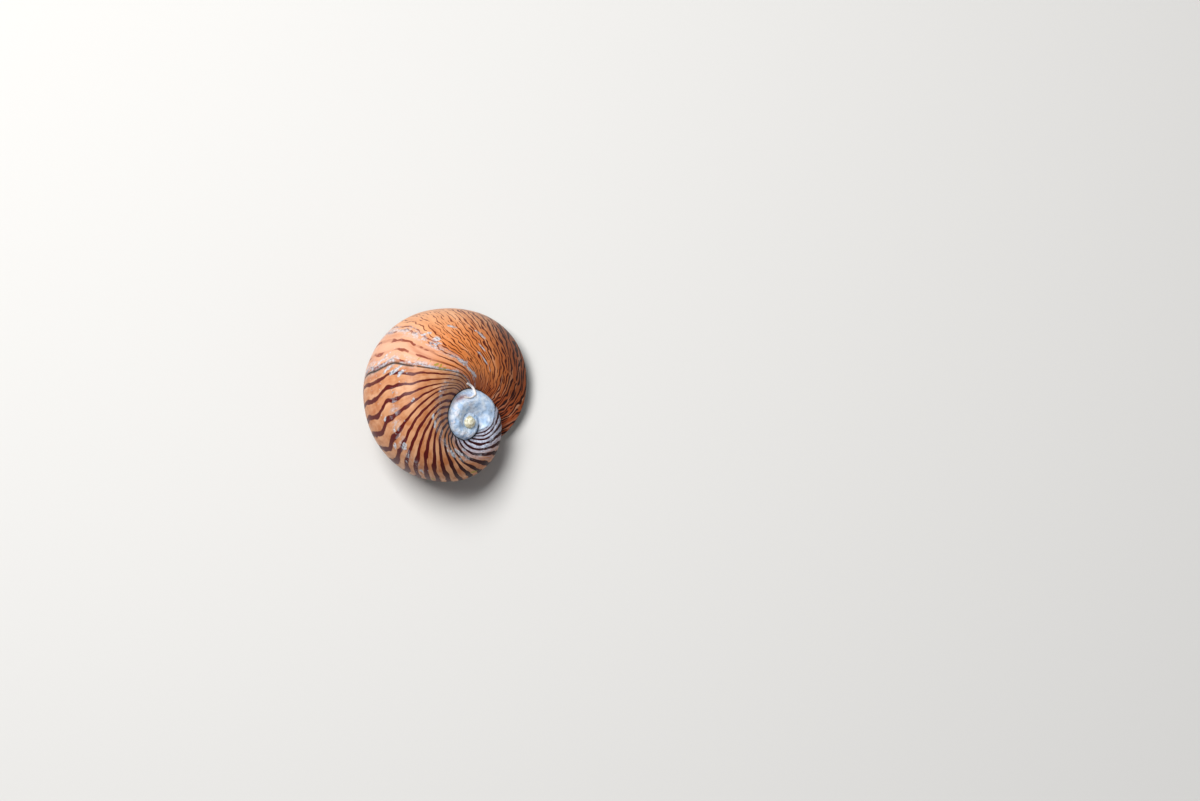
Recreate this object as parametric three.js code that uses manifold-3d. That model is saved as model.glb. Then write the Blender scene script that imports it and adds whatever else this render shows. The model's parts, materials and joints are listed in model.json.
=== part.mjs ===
// A nerite snail at life size: a low, egg-shaped shell of few whorls that grow fast,
// resting over a short broad foot, with the head drawn in under the front of the lip.
//
// Frame: millimetres, +Z up, the sole on z = 0. The head points to -Y, the animal's
// right side is -X, and the apex of the shell stands at the right rear.

import * as THREE from 'three';
import { LoftGeometry } from 'three/addons/geometries/LoftGeometry.js';
import { mergeGeometries, mergeVertices } from 'three/addons/utils/BufferGeometryUtils.js';
import Module from 'manifold-3d';

// Coil of the shell. Its frame has the lip outline round the origin of the plane z = 0.
const APEX = new THREE.Vector3(-4.25, 6.13, 5.78);
const AXIS_BEARING = 76.5; // degrees from +Y towards -X
const AXIS_RISE = 46.8; // degrees above the lip plane, pointing out of the apex
const WHORL_GROWTH = 3.4; // size ratio from one whorl to the next
const DESCENT = 1.35; // how far the older whorls stand up along the axis, against their size
const RIGHT_FULLNESS = 0.25; // by how much the right side of the older whorls is wider
const SETTLING_TURN = 270; // degrees of coil over which both fade out towards the lip
const PROTOCONCH_RADIUS = 0.7; // the round first whorl at the tip

// Lip outline: half widths and half lengths of a superellipse.
const LIP_LEFT = 9.75;
const LIP_RIGHT = 11.33;
const LIP_FRONT = 9.76;
const LIP_REAR = 10.26;
const LIP_POWER = 2.17; // 2 is an ellipse, more is squarer
const LIP_EGG = 0.02; // share by which three lobes make the outline egg-shaped
const LIP_SHEAR = 0.077; // rearward shift of the left side against the right

// Aperture: the hollow in front of the flat columellar deck.
const LIP_THICKNESS = 0.9;
const BEVEL_FLARE = 0.05; // the hollow widens by this share at the rim
const BEVEL_TURN = 5; // degrees of coil over which it widens
const HOLLOW_TURN = 34; // degrees of coil that the hollow reaches back
const DECK_EDGE = 3.2; // place of the deck's straight edge in front of the coil axis
const TOOTH_COUNT = 7;
const TOOTH_RADIUS = 0.4;
const TOOTH_FIRST = 0.25; // share of the deck's edge before the first tooth
const TOOTH_SPAN = 0.5; // share of the deck's edge that the teeth take

// Stance.
const LIP_LIFT = 2.0; // height of the middle of the lip plane over the floor
const SHELL_PITCH = 3; // degrees by which the front of the shell is raised
const GAP = 0.3; // clearance between neighbouring pieces

// Soft body.
const MANTLE_SETBACK = 4; // degrees of coil between the lip and the mantle's edge
const MANTLE_CLEARANCE = 1.6; // from the deck's edge
const SOLE_INSET = 2.7; // of the foot's side from the lip outline
const SOLE_BEVEL = 0.45; // rounding of the sole's rim
const OPERCULUM_INSET = 2.2;
const OPERCULUM_THICKNESS = 0.5;
const OPERCULUM_FRONT = 2.4; // place of its straight edge in front of the coil axis
const HEAD_WIDTH = 7.2;
const HEAD_LENGTH = 5.2;
const HEAD_HEIGHT = 1.55;
const HEAD_BASE = 0.95; // height of the head's underside over the floor
const HEAD_REACH = 0.2; // how far the snout stands in from the lip
const MOUTH_WIDTH = 2.2;
const MOUTH_GAP = 0.25;
const TENTACLE_BASE = 0.42; // radius
const TENTACLE_TIP = 0.2; // radius
const TENTACLE_INSET = 1.35; // of its middle line from the lip outline
const EYE_RADIUS = 0.34;
const EYE_BULGE_RADIUS = 0.6;
const EYE_ALONG = 0.64; // share of the head's length from the snout
const EYE_GAP = 0.15;
const TENTACLE_START = { left: 0.43, right: 0.33 }; // along the lip, radians from its front
const TENTACLE_SPAN = 0.72; // radians
const TENTACLE_DROP = 0.5; // of its middle line under the clearance below the lip plane

// Head outline: share of its length from the snout, and share of its full width.
const HEAD_PROFILE = [[0, 0.45], [0.08, 0.72], [0.25, 0.88], [0.45, 1], [0.75, 0.95], [1, 0.85]];

// Fineness of the surfaces.
const LIP_POINTS = 72;
const FOOT_POINTS = 48;
const COIL_STEP = 10; // degrees of coil between two rows
const ROW_STEPS = 36;
const HOLLOW_STEP = 6;
const HEAD_POINTS = 28;
const TENTACLE_POINTS = 10;
const TENTACLE_STEPS = 14;
const TENTACLE_KNOTS = 4; // spans between the points of its middle line
const PROBE = 0.01; // half step in radians for the direction of an outline
const WELD = 1e-4; // vertices closer than this are one
const SEAM_WELD = 1e-3; // the same where rows end on a suture

// Search for the suture, which starts from its place at the lip.
const FIRST_TURN = 720; // degrees of coil from the first row to the lip
const SUTURE_AT_LIP = new THREE.Vector3(2.205, -265.8, 4.411); // radians, degrees, radians
const AXES = [new THREE.Vector3(1, 0, 0), new THREE.Vector3(0, 1, 0), new THREE.Vector3(0, 0, 1)];
const PROBES = [1e-5, 1e-3, 1e-5]; // steps of the three values for their slopes
const NEWTON_ROUNDS = 12;
const SCAN = 0.02; // radians
const BISECTIONS = 30;
const LAST_BASE_TURN = -1; // degrees, the last row whose end on the base is searched

const wasm = await Module();
wasm.setup();

const TAU = 2 * Math.PI;
const radians = THREE.MathUtils.degToRad;
const bearing = radians(AXIS_BEARING);
const rise = radians(AXIS_RISE);
const pitch = radians(SHELL_PITCH);

// Coil axis, pointing out of the apex to the animal's right and up.
const AXIS = new THREE.Vector3(
  -Math.sin(bearing) * Math.cos(rise),
  Math.cos(bearing) * Math.cos(rise),
  Math.sin(rise),
);

// Signed power, from which a superellipse is made.
function signedPower(value, exponent) {
  return Math.sign(value) * Math.abs(value) ** exponent;
}

// One point of the lip outline. The angle runs from the left side by the rear to the right side.
function lipPoint(angle) {
  const across = Math.cos(angle);
  const along = Math.sin(angle);
  const egg = 1 + LIP_EGG * Math.sin(3 * angle);
  const x = egg * (across > 0 ? LIP_LEFT : LIP_RIGHT) * signedPower(across, 2 / LIP_POWER);
  const y = egg * (along > 0 ? LIP_REAR : LIP_FRONT) * signedPower(along, 2 / LIP_POWER);
  return new THREE.Vector3(x, y + LIP_SHEAR * x, 0);
}

// The same point moved inwards, at right angles to the outline.
function lipRingPoint(angle, inset) {
  const along = lipPoint(angle + PROBE).sub(lipPoint(angle - PROBE));
  const inward = new THREE.Vector3(-along.y, along.x, 0).normalize();
  return lipPoint(angle).addScaledVector(inward, inset);
}

// The lip outline moved inwards by a constant distance, clockwise as seen from above.
function lipRing(inset, count = LIP_POINTS) {
  return Array.from({ length: count }, (_, i) => lipRingPoint((-i / count) * TAU, inset));
}

// Distance of a point of the lip plane in front of the line where the coil stops advancing.
function aheadOfAxis(point) {
  const arm = point.clone().sub(APEX);
  const climb = new THREE.Vector3().crossVectors(AXIS, arm).z;
  return (climb - (Math.log(WHORL_GROWTH) / TAU) * arm.z) / Math.cos(rise);
}

// The part of a ring that lies further ahead of the axis than a given distance.
function clipAhead(ring, distance, sign = 1) {
  const kept = [];
  ring.forEach((point, i) => {
    const next = ring[(i + 1) % ring.length];
    const a = sign * (aheadOfAxis(point) - distance);
    const b = sign * (aheadOfAxis(next) - distance);
    if (a > 0) {
      kept.push(point);
    }
    if (a > 0 !== b > 0) {
      kept.push(point.clone().lerp(next, a / (a - b)));
    }
  });
  return kept;
}

// Carries a point of the lip plane along the coil by a turn in degrees, 0 at the lip and
// negative towards the apex. Every earlier stage of the shell is nearly the same shape,
// smaller by a constant ratio. The older whorls are a little fuller on the right, and the
// last one sinks away from the apex as it nears the lip.
function alongCoil(point, turn) {
  const size = WHORL_GROWTH ** (turn / 360);
  const age = THREE.MathUtils.smoothstep(-turn, 0, SETTLING_TURN);
  const placed = point.clone();
  if (placed.x < 0) {
    placed.x *= 1 + RIGHT_FULLNESS * age;
  }
  return placed
    .sub(APEX)
    .applyAxisAngle(AXIS, -radians(turn))
    .addScaledVector(AXIS, DESCENT * age)
    .multiplyScalar(size)
    .add(APEX);
}

// Closed loft through a row of rings with the same number of points.
function loft(rings) {
  return new LoftGeometry(rings, { capStart: true, capEnd: true });
}

// A ring swept along the coil from one turn to another, shaped by an optional scale per turn.
function coilSweep(ring, from, to, step, scaleAt = () => 1) {
  const middle = ring.reduce((sum, p) => sum.add(p), new THREE.Vector3()).divideScalar(ring.length);
  const count = Math.ceil((to - from) / step);
  const rings = [];
  for (let i = 0; i <= count; i += 1) {
    const turn = from + ((to - from) * i) / count;
    const scale = scaleAt(turn);
    rings.push(ring.map((p) => alongCoil(middle.clone().lerp(p, scale), turn)));
  }
  return loft(rings);
}

// A geometry with its corners alone, so that pieces can be joined.
function bareGeometry(geometry) {
  const bare = new THREE.BufferGeometry();
  bare.setAttribute('position', geometry.getAttribute('position'));
  bare.setIndex(geometry.getIndex());
  return bare;
}

// Flat cap over a closed loop in the lip plane, facing down.
function capOver(loop) {
  const outline = loop.map((p) => new THREE.Vector2(p.x, p.y));
  const faces = THREE.ShapeUtils.triangulateShape(outline, []);
  const clockwise = THREE.ShapeUtils.isClockWise(outline);
  const cap = new THREE.BufferGeometry().setFromPoints(loop);
  return cap.setIndex(faces.flatMap(([a, b, c]) => (clockwise ? [a, b, c] : [a, c, b])));
}

// Cone over a closed loop that runs clockwise as seen from beyond the tip.
function fanOver(loop, tip) {
  const fan = new THREE.BufferGeometry().setFromPoints([...loop, tip]);
  return fan.setIndex(loop.flatMap((_, i) => [(i + 1) % loop.length, i, loop.length]));
}

// Solid with merged vertices, ready to be joined or cut.
function toSolid(geometry, tolerance = WELD) {
  const merged = mergeVertices(bareGeometry(geometry), tolerance);
  const source = merged.index.array;
  const triangles = [];
  for (let i = 0; i < source.length; i += 3) {
    const [a, b, c] = [source[i], source[i + 1], source[i + 2]];
    if (a !== b && b !== c && c !== a) {
      triangles.push(a, b, c);
    }
  }
  return new wasm.Manifold(new wasm.Mesh({
    numProp: 3,
    vertProperties: new Float32Array(merged.attributes.position.array),
    triVerts: new Uint32Array(triangles),
  }));
}

// The largest closed piece of a solid, without the slivers that a cut can leave.
function largest(solid) {
  const pieces = solid.decompose();
  return pieces.reduce((best, piece) => (piece.volume() > best.volume() ? piece : best));
}

// Surface of a solid.
function toGeometry(solid) {
  const mesh = solid.getMesh();
  const geometry = new THREE.BufferGeometry();
  geometry.setAttribute('position', new THREE.BufferAttribute(mesh.vertProperties, 3));
  geometry.setIndex(new THREE.BufferAttribute(mesh.triVerts, 1));
  return geometry;
}

// A named mesh from a solid.
function toMesh(name, solid, material) {
  const geometry = toGeometry(solid);
  geometry.computeVertexNormals();
  const result = new THREE.Mesh(geometry, material);
  result.name = name;
  return result;
}

// Materials: banded shell, horny operculum, grey flesh and black eyes.
const shellMaterial = new THREE.MeshStandardMaterial({ color: 0xc2703a, roughness: 0.4, metalness: 0 });
const horn = new THREE.MeshStandardMaterial({ color: 0x9b8f86, roughness: 0.45, metalness: 0 });
const flesh = new THREE.MeshStandardMaterial({ color: 0x56504f, roughness: 0.5, metalness: 0 });
const eyeMaterial = new THREE.MeshStandardMaterial({ color: 0x0b0a0c, roughness: 0.15, metalness: 0 });

// Point of the shell's surface: the lip outline at an angle, carried back by a turn.
function shellPoint(turn, angle) {
  return alongCoil(lipPoint(angle), turn);
}

// Where the growth line of a turn meets the whorl before it, found by Newton's method from a
// nearby guess: the angle on the line, and the turn and angle on the older whorl.
function sutureNear(turn, guess) {
  let found = new THREE.Vector3().copy(guess);
  const miss = (v) => shellPoint(turn, v.x).sub(shellPoint(v.y, v.z));
  for (let i = 0; i < NEWTON_ROUNDS; i += 1) {
    const error = miss(found);
    const slopes = AXES.map((axis, k) => miss(found.clone().addScaledVector(axis, PROBES[k]))
      .sub(error)
      .divideScalar(PROBES[k]));
    const jacobian = new THREE.Matrix3().set(
      slopes[0].x, slopes[1].x, slopes[2].x,
      slopes[0].y, slopes[1].y, slopes[2].y,
      slopes[0].z, slopes[1].z, slopes[2].z,
    );
    found = found.sub(error.applyMatrix3(jacobian.invert()));
  }
  return found;
}

// The suture for every row of the coil, from the lip back to the first whorl.
function traceSuture() {
  const suture = new Map();
  let guess = SUTURE_AT_LIP;
  for (let turn = 0; turn >= -FIRST_TURN; turn -= COIL_STEP) {
    guess = sutureNear(turn, guess);
    suture.set(turn, guess.clone());
    guess.y -= COIL_STEP;
  }
  return suture;
}

// Angle at which a growth line of the last whorl comes down to the lip plane on its far side.
function baseAngle(turn) {
  let above = Math.PI;
  while (shellPoint(turn, above + SCAN).z > 0) {
    above += SCAN;
  }
  let below = above + SCAN;
  for (let i = 0; i < BISECTIONS; i += 1) {
    const between = (above + below) / 2;
    if (shellPoint(turn, between).z > 0) {
      above = between;
    } else {
      below = between;
    }
  }
  return below;
}

// Rows of the visible surface. Each runs from the suture, over the whorl, to the next suture,
// or in the last whorl to the lip plane. The rows lean forward so that their far ends meet
// the suture of the following whorl point by point.
function coilRows() {
  const suture = traceSuture();
  const lead = suture.get(0).y + 360;
  const rows = [];
  for (let turn = -FIRST_TURN; turn <= 0; turn += COIL_STEP) {
    const start = suture.get(turn).x;
    const later = suture.get(turn + 360);
    const share = THREE.MathUtils.smoothstep(turn, -360, 0);
    const endTurn = later ? later.y : turn + lead * (1 - share);
    const end = later ? later.z : baseAngle(Math.min(endTurn, LAST_BASE_TURN));
    const row = [];
    for (let i = 0; i <= ROW_STEPS; i += 1) {
      const t = i / ROW_STEPS;
      const point = shellPoint(turn + (endTurn - turn) * t * t, start + (end - start) * t);
      row.push(i === ROW_STEPS && !later ? point.setZ(0) : point);
    }
    if (later) {
      row[ROW_STEPS] = shellPoint(turn + 360, later.x);
    }
    rows.push(row);
  }
  return rows;
}

// Shell: the rows skinned to one strip that winds twice round, closed under the last whorl by
// the level base and at the top by a low cone, with the round first whorl on it.
function makeShell() {
  const rows = coilRows();
  const perWhorl = 360 / COIL_STEP;
  const last = rows.length - 1;
  const strip = new LoftGeometry(rows.map((row) => [...row].reverse()), { closed: false });
  const rearEnds = rows.slice(perWhorl + 1, last).map((row) => row[ROW_STEPS]).reverse();
  const base = capOver([...rows[last], ...rearEnds]);
  const innerEdge = rows.slice(0, perWhorl + 1).map((row) => row[0]);
  const crown = fanOver([...innerEdge, ...rows[0].slice(1, -1).reverse()], APEX);
  const closed = mergeGeometries([strip, base, crown].map(bareGeometry));
  const tip = new THREE.SphereGeometry(PROTOCONCH_RADIUS, 12, 8);
  const hollow = coilSweep(
    clipAhead(lipRing(LIP_THICKNESS), DECK_EDGE),
    -HOLLOW_TURN,
    0,
    HOLLOW_STEP,
    (turn) => 1 + BEVEL_FLARE * Math.max(0, 1 + turn / BEVEL_TURN),
  );
  let shell = toSolid(closed, SEAM_WELD)
    .add(toSolid(tip.translate(APEX.x, APEX.y, APEX.z)))
    .subtract(toSolid(hollow));
  for (const tooth of makeTeeth()) {
    shell = shell.add(tooth);
  }
  return largest(shell);
}

// Low blunt teeth in a row on the straight edge of the deck.
function makeTeeth() {
  const edge = clipAhead(lipRing(LIP_THICKNESS), DECK_EDGE).filter((p) => aheadOfAxis(p) < DECK_EDGE + 1e-3);
  const [start, finish] = edge;
  const teeth = [];
  for (let i = 1; i <= TOOTH_COUNT; i += 1) {
    const place = start.clone().lerp(finish, TOOTH_FIRST + (TOOTH_SPAN * i) / TOOTH_COUNT);
    const tooth = new THREE.SphereGeometry(TOOTH_RADIUS, 8, 6);
    teeth.push(toSolid(tooth.translate(place.x, place.y, TOOTH_RADIUS)));
  }
  return teeth;
}

// Mantle: the soft body that fills the hollow, its lower edge drawn a little way in.
function makeMantle() {
  const ring = clipAhead(lipRing(LIP_THICKNESS + GAP), DECK_EDGE + MANTLE_CLEARANCE);
  return toSolid(coilSweep(ring, -HOLLOW_TURN + MANTLE_SETBACK, -MANTLE_SETBACK, HOLLOW_STEP));
}

// Front of the lip, as seen from above.
function lipFront() {
  return lipPoint(1.5 * Math.PI).y;
}

// Height of the lip plane over the floor, at a place along the body.
function lipPlane(y) {
  return LIP_LIFT - Math.tan(pitch) * y;
}

// A ring turned to run counterclockwise, at a height given for each of its points.
function level(ring, heightAt) {
  return ring.map((p) => new THREE.Vector3(p.x, p.y, heightAt(p))).reverse();
}

// Foot: a broad low pad with a flat sole. Its top follows the lip plane, lower at the rear,
// where the operculum lies on it.
function makeFoot(operculumRoom, headRoom) {
  const wide = lipRing(SOLE_INSET, FOOT_POINTS);
  const narrow = lipRing(SOLE_INSET + SOLE_BEVEL, FOOT_POINTS);
  const pad = toSolid(loft([
    level(narrow, () => 0),
    level(wide, () => SOLE_BEVEL),
    level(wide, (p) => lipPlane(p.y) - GAP - SOLE_BEVEL),
    level(narrow, (p) => lipPlane(p.y) - GAP),
  ]));
  return largest(pad.subtract(operculumRoom).subtract(headRoom));
}

// Half-moon plate over the rear of the foot. The room for it is the same plate, larger by a gap.
function makeOperculum(margin) {
  const outline = clipAhead(lipRing(OPERCULUM_INSET - margin), OPERCULUM_FRONT + margin, -1);
  const top = (p) => lipPlane(p.y) - GAP + margin;
  const bottom = (p) => lipPlane(p.y) - GAP - OPERCULUM_THICKNESS - margin;
  return toSolid(loft([level(outline, bottom), level(outline, top)]));
}

// Head: a short broad snout, widest behind the tentacles. Its rings stand across the body.
function makeHead(margin) {
  const front = lipFront() + HEAD_REACH;
  const rings = HEAD_PROFILE.map(([along, size]) => {
    const y = front + along * HEAD_LENGTH + (along < 0.5 ? -margin : margin);
    const ring = [];
    for (let i = 0; i < HEAD_POINTS; i += 1) {
      const angle = (-i / HEAD_POINTS) * TAU;
      const x = Math.cos(angle) * (size * HEAD_WIDTH / 2 + margin);
      const z = signedPower(Math.sin(angle), 0.8) * (Math.sqrt(size) * HEAD_HEIGHT / 2 + margin);
      ring.push(new THREE.Vector3(x, y, HEAD_BASE + HEAD_HEIGHT / 2 + z));
    }
    return ring;
  });
  return toSolid(loft(rings));
}

// The head with its eye bulges, a mouth slit under the snout and the two eye sockets.
function finishHead(head) {
  const front = lipFront() + HEAD_REACH;
  const slit = new THREE.BoxGeometry(MOUTH_WIDTH, HEAD_LENGTH / 4, MOUTH_GAP);
  let result = head;
  for (const side of [-1, 1]) {
    const bulge = new THREE.SphereGeometry(EYE_BULGE_RADIUS, 12, 8);
    const { x, y, z } = eyePlace(side, 0);
    result = result.add(toSolid(bulge.translate(x, y, z)));
  }
  for (const side of [-1, 1]) {
    const socket = new THREE.SphereGeometry(EYE_RADIUS + EYE_GAP, 12, 8);
    const { x, y, z } = eyePlace(side, EYE_RADIUS);
    result = result.subtract(toSolid(socket.translate(x, y, z)));
  }
  result = result.subtract(toSolid(slit.translate(0, front, HEAD_BASE + HEAD_HEIGHT / 3)));
  return largest(result);
}

// Room for the head and the eyes on its sides, cut out of the top of the foot.
function makeHeadRoom() {
  let room = makeHead(GAP);
  for (const side of [-1, 1]) {
    const ball = new THREE.SphereGeometry(EYE_BULGE_RADIUS + GAP, 12, 8);
    const { x, y, z } = eyePlace(side, EYE_RADIUS);
    room = room.add(toSolid(ball.translate(x, y, z)));
  }
  return room;
}

// Middle of an eye bulge on one side of the head, or of a ball standing out from it.
function eyePlace(side, outwards) {
  return new THREE.Vector3(
    side * (HEAD_WIDTH / 2 + outwards),
    lipFront() + HEAD_REACH + EYE_ALONG * HEAD_LENGTH,
    HEAD_BASE + HEAD_HEIGHT / 2,
  );
}

// Tentacle: a slender round feeler that leaves the side of the head and lies back along the
// inside of the lip, thinner to its blunt tip.
function makeTentacle(side) {
  const start = side > 0 ? TENTACLE_START.left : TENTACLE_START.right;
  const knots = [];
  for (let i = 0; i <= TENTACLE_KNOTS; i += 1) {
    const angle = start + (TENTACLE_SPAN * i) / TENTACLE_KNOTS;
    const point = lipRingPoint(1.5 * Math.PI + side * angle, TENTACLE_INSET);
    knots.push(point.setZ(lipPlane(point.y) - GAP - TENTACLE_DROP));
  }
  const path = new THREE.CatmullRomCurve3(knots);
  const frames = path.computeFrenetFrames(TENTACLE_STEPS, false);
  const rings = [];
  for (let i = 0; i <= TENTACLE_STEPS; i += 1) {
    const share = i / TENTACLE_STEPS;
    const rounding = Math.sqrt(1 - 0.9 * Math.max(0, 4 * share - 3) ** 4);
    const radius = THREE.MathUtils.lerp(TENTACLE_BASE, TENTACLE_TIP, share) * rounding;
    const middle = path.getPointAt(share);
    const ring = [];
    for (let j = 0; j < TENTACLE_POINTS; j += 1) {
      const angle = (j / TENTACLE_POINTS) * TAU;
      ring.push(middle.clone()
        .addScaledVector(frames.normals[i], radius * Math.cos(angle))
        .addScaledVector(frames.binormals[i], radius * Math.sin(angle)));
    }
    rings.push(ring);
  }
  return toSolid(loft(rings));
}

// The shell and the mantle in it stand on the tilted lip plane.
const coil = new THREE.Group();
coil.position.set(0, 0, LIP_LIFT);
coil.rotation.x = -pitch;
coil.add(toMesh('shell', makeShell(), shellMaterial));
coil.add(toMesh('mantle', makeMantle(), flesh));

const body = new THREE.Group();
body.add(coil);
body.add(toMesh('operculum', makeOperculum(0), horn));
body.add(toMesh('foot', makeFoot(makeOperculum(GAP), makeHeadRoom()), flesh));
body.add(toMesh('head', finishHead(makeHead(0)), flesh));
for (const [label, side] of [['left', 1], ['right', -1]]) {
  body.add(toMesh(`tentacle_${label}`, makeTentacle(side), flesh));
  const eye = new THREE.Mesh(new THREE.SphereGeometry(EYE_RADIUS, 12, 8), eyeMaterial);
  eye.name = `eye_${label}`;
  eye.position.copy(eyePlace(side, EYE_RADIUS));
  body.add(eye);
}

// The origin is on the floor under the middle of the whole animal.
body.updateMatrixWorld(true);
const middle = new THREE.Box3().setFromObject(body, true).getCenter(new THREE.Vector3());
body.position.set(-middle.x, -middle.y, 0);

const snail = new THREE.Group();
snail.add(body);

export default snail;
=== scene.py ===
# %% [markdown]
# # A nerite snail
# A nerite is a small algae-eating snail with a heavy, domed shell. This one is shown as a still,
# life-size museum model: the shell, with the foot, head and feelers drawn in close under its rim.
# The solid model gives the frame, in metres, with +Z up and the head towards -Y. Every piece made
# here stands in that frame.

# %% The frame
import json
import math

import bpy
import numpy as np
from mathutils import Matrix, Vector

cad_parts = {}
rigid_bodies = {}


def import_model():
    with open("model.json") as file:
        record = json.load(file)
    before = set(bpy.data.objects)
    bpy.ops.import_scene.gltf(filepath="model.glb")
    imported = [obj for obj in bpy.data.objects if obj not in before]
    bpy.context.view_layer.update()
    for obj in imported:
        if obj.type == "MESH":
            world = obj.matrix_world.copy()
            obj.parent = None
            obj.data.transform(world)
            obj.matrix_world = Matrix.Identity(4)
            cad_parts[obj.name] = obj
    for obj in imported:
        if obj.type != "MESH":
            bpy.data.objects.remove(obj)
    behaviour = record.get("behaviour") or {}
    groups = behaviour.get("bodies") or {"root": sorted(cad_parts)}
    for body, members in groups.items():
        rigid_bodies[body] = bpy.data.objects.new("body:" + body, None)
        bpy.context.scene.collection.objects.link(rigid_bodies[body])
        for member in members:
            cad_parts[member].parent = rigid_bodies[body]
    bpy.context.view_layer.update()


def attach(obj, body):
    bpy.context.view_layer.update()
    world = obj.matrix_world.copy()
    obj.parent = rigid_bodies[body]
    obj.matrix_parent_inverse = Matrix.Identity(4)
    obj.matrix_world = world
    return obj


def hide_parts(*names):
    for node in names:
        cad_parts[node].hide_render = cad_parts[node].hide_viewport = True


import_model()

# %% [markdown]
# ## The coil
# A snail builds its shell by adding a thin line of lime to the lip, again and again, while the
# mouth grows and turns about an axis. So the whole surface is one outline, carried back along a
# spiral: turn 0 is the lip, and each whorl back is smaller by a constant ratio. A ready-made
# spiral tool would give a round tube. Two short formulas give the true outline and its path, and
# every later pattern can follow the same two numbers, the turn and the place along the lip.

# %% The outline of the lip and its path
MM = 0.001
APEX = np.array([-4.25, 6.13, 5.78])
AXIS_BEARING, AXIS_RISE = math.radians(76.5), math.radians(46.8)
WHORL_GROWTH = 3.4
DESCENT = 1.35
RIGHT_FULLNESS = 0.25
SETTLING_TURN = 270
LIP = {"left": 9.75, "right": 11.33, "front": 9.76, "rear": 10.26}
LIP_POWER, LIP_EGG, LIP_SHEAR = 2.17, 0.02, 0.077
AXIS = np.array([
    -math.sin(AXIS_BEARING) * math.cos(AXIS_RISE),
    math.cos(AXIS_BEARING) * math.cos(AXIS_RISE),
    math.sin(AXIS_RISE),
])


def smooth(x):
    """From 0 to 1 as x does, level at both ends: three x squared less two x cubed."""
    x = np.clip(x, 0, 1)
    return x * x * (3 - 2 * x)


def lip(angle):
    """Superellipse with four half widths, made a little egg-shaped by a sine of three times the
    angle, and sheared. The angle is 0 on the left, a quarter turn at the rear, half on the right.
    """
    across, along = np.cos(angle), np.sin(angle)
    egg = 1 + LIP_EGG * np.sin(3 * angle)
    x = egg * np.where(across > 0, LIP["left"], LIP["right"])
    x = x * np.sign(across) * np.abs(across) ** (2 / LIP_POWER)
    y = egg * np.where(along > 0, LIP["rear"], LIP["front"])
    y = y * np.sign(along) * np.abs(along) ** (2 / LIP_POWER)
    return np.stack([x, y + LIP_SHEAR * x, 0 * x], -1)


def carry(points, turn):
    """The points, seen from the apex, turned back about the axis, moved along it, and made
    smaller by the whorl's growth to the power of the turn in whorls."""
    age = smooth(-turn / SETTLING_TURN)
    x = np.where(points[..., 0] < 0, points[..., 0] * (1 + RIGHT_FULLNESS * age), points[..., 0])
    arm = np.stack([x, points[..., 1], points[..., 2]], -1) - APEX
    back = np.radians(-turn)[..., None]
    turned = (arm * np.cos(back) + np.cross(AXIS, arm) * np.sin(back)
              + AXIS * (arm @ AXIS)[..., None] * (1 - np.cos(back)))
    moved = turned + AXIS * (DESCENT * age)[..., None]
    return moved * (WHORL_GROWTH ** (turn / 360))[..., None] + APEX


def coil(turn, angle):
    """The lip outline at an angle, carried back by a turn in degrees."""
    turn, angle = np.broadcast_arrays(np.asarray(turn, float), np.asarray(angle, float))
    return carry(lip(angle), turn)


PITCH = math.radians(3)
LIFT = 2.0
CENTRE = np.array([0.7378, -2.0160, 0.0])
TILT = np.array([
    [1, 0, 0],
    [0, math.cos(PITCH), math.sin(PITCH)],
    [0, -math.sin(PITCH), math.cos(PITCH)],
])


def stand(points):
    """From the shell's own axes, in mm, to the frame, in metres: tilted, lifted and centred."""
    return (points @ TILT.T + [0, 0, LIFT] + CENTRE) * MM


lip_length = np.ptp(lip(np.linspace(0, 2 * math.pi, 700))[:, 1])
print("shell length along the lip, mm:", round(float(lip_length), 2))

# %% [markdown]
# ## The suture
# Each whorl is laid onto the one before it, and the line where they touch is the suture. It isn't
# drawn by hand: for every growth line, three unknowns say where it lands (its own place along the
# lip, and the turn and place on the older whorl), and Newton's method finds them for all the
# lines at once. The whorls then share their vertices there, so the shell has no crack.

# %% Where each growth line starts and ends
LATE_STEP, EARLY_STEP, FIRST_TURN = 0.9, 3.6, -1080.0
COLUMNS = 130
NEWTON_ROUNDS, SCAN_STEPS, HALVINGS = 6, 1200, 40


def suture(turns):
    """Newton's method on the gap between two points of the coil, with slopes measured by small
    steps of the three unknowns, from a first guess that fits a late and an early line."""
    age = smooth(-turns / SETTLING_TURN)
    found = np.stack([np.radians(126.3 - 10.5 * age), turns - 265.8 - 1.7 * age,
                      np.radians(252.7 - 19.2 * age)], -1)
    steps = np.diag([1e-5, 1e-3, 1e-5])
    gap = lambda q: coil(turns, q[:, 0]) - coil(q[:, 1], q[:, 2])
    for _ in range(NEWTON_ROUNDS):
        miss = gap(found)
        slopes = np.stack([(gap(found + s) - miss) / s.max() for s in steps], -1)
        found = found - np.linalg.solve(slopes, miss[..., None])[..., 0]
    return found


def base_angle(turns):
    """Where a growth line comes down to the lip plane: a scan in small steps, then halving."""
    scan = np.linspace(math.pi, 3 * math.pi, SCAN_STEPS)
    under = coil(turns[:, None], scan)[..., 2] <= 0
    first = under.argmax(1)
    above, below = scan[first - 1], scan[first]
    for _ in range(HALVINGS):
        between = (above + below) / 2
        over = coil(turns, between)[..., 2] > 0
        above, below = np.where(over, between, above), np.where(over, below, between)
    return below


late_turns = np.round(np.arange(-360, LATE_STEP / 2, LATE_STEP), 6)
early_turns = np.round(np.arange(FIRST_TURN, -360 - EARLY_STEP / 2, EARLY_STEP), 6)
late_start = suture(late_turns)
early_start = suture(early_turns)
newest = suture(np.array([0.0]))[0]
lead = newest[1] + 360


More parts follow.
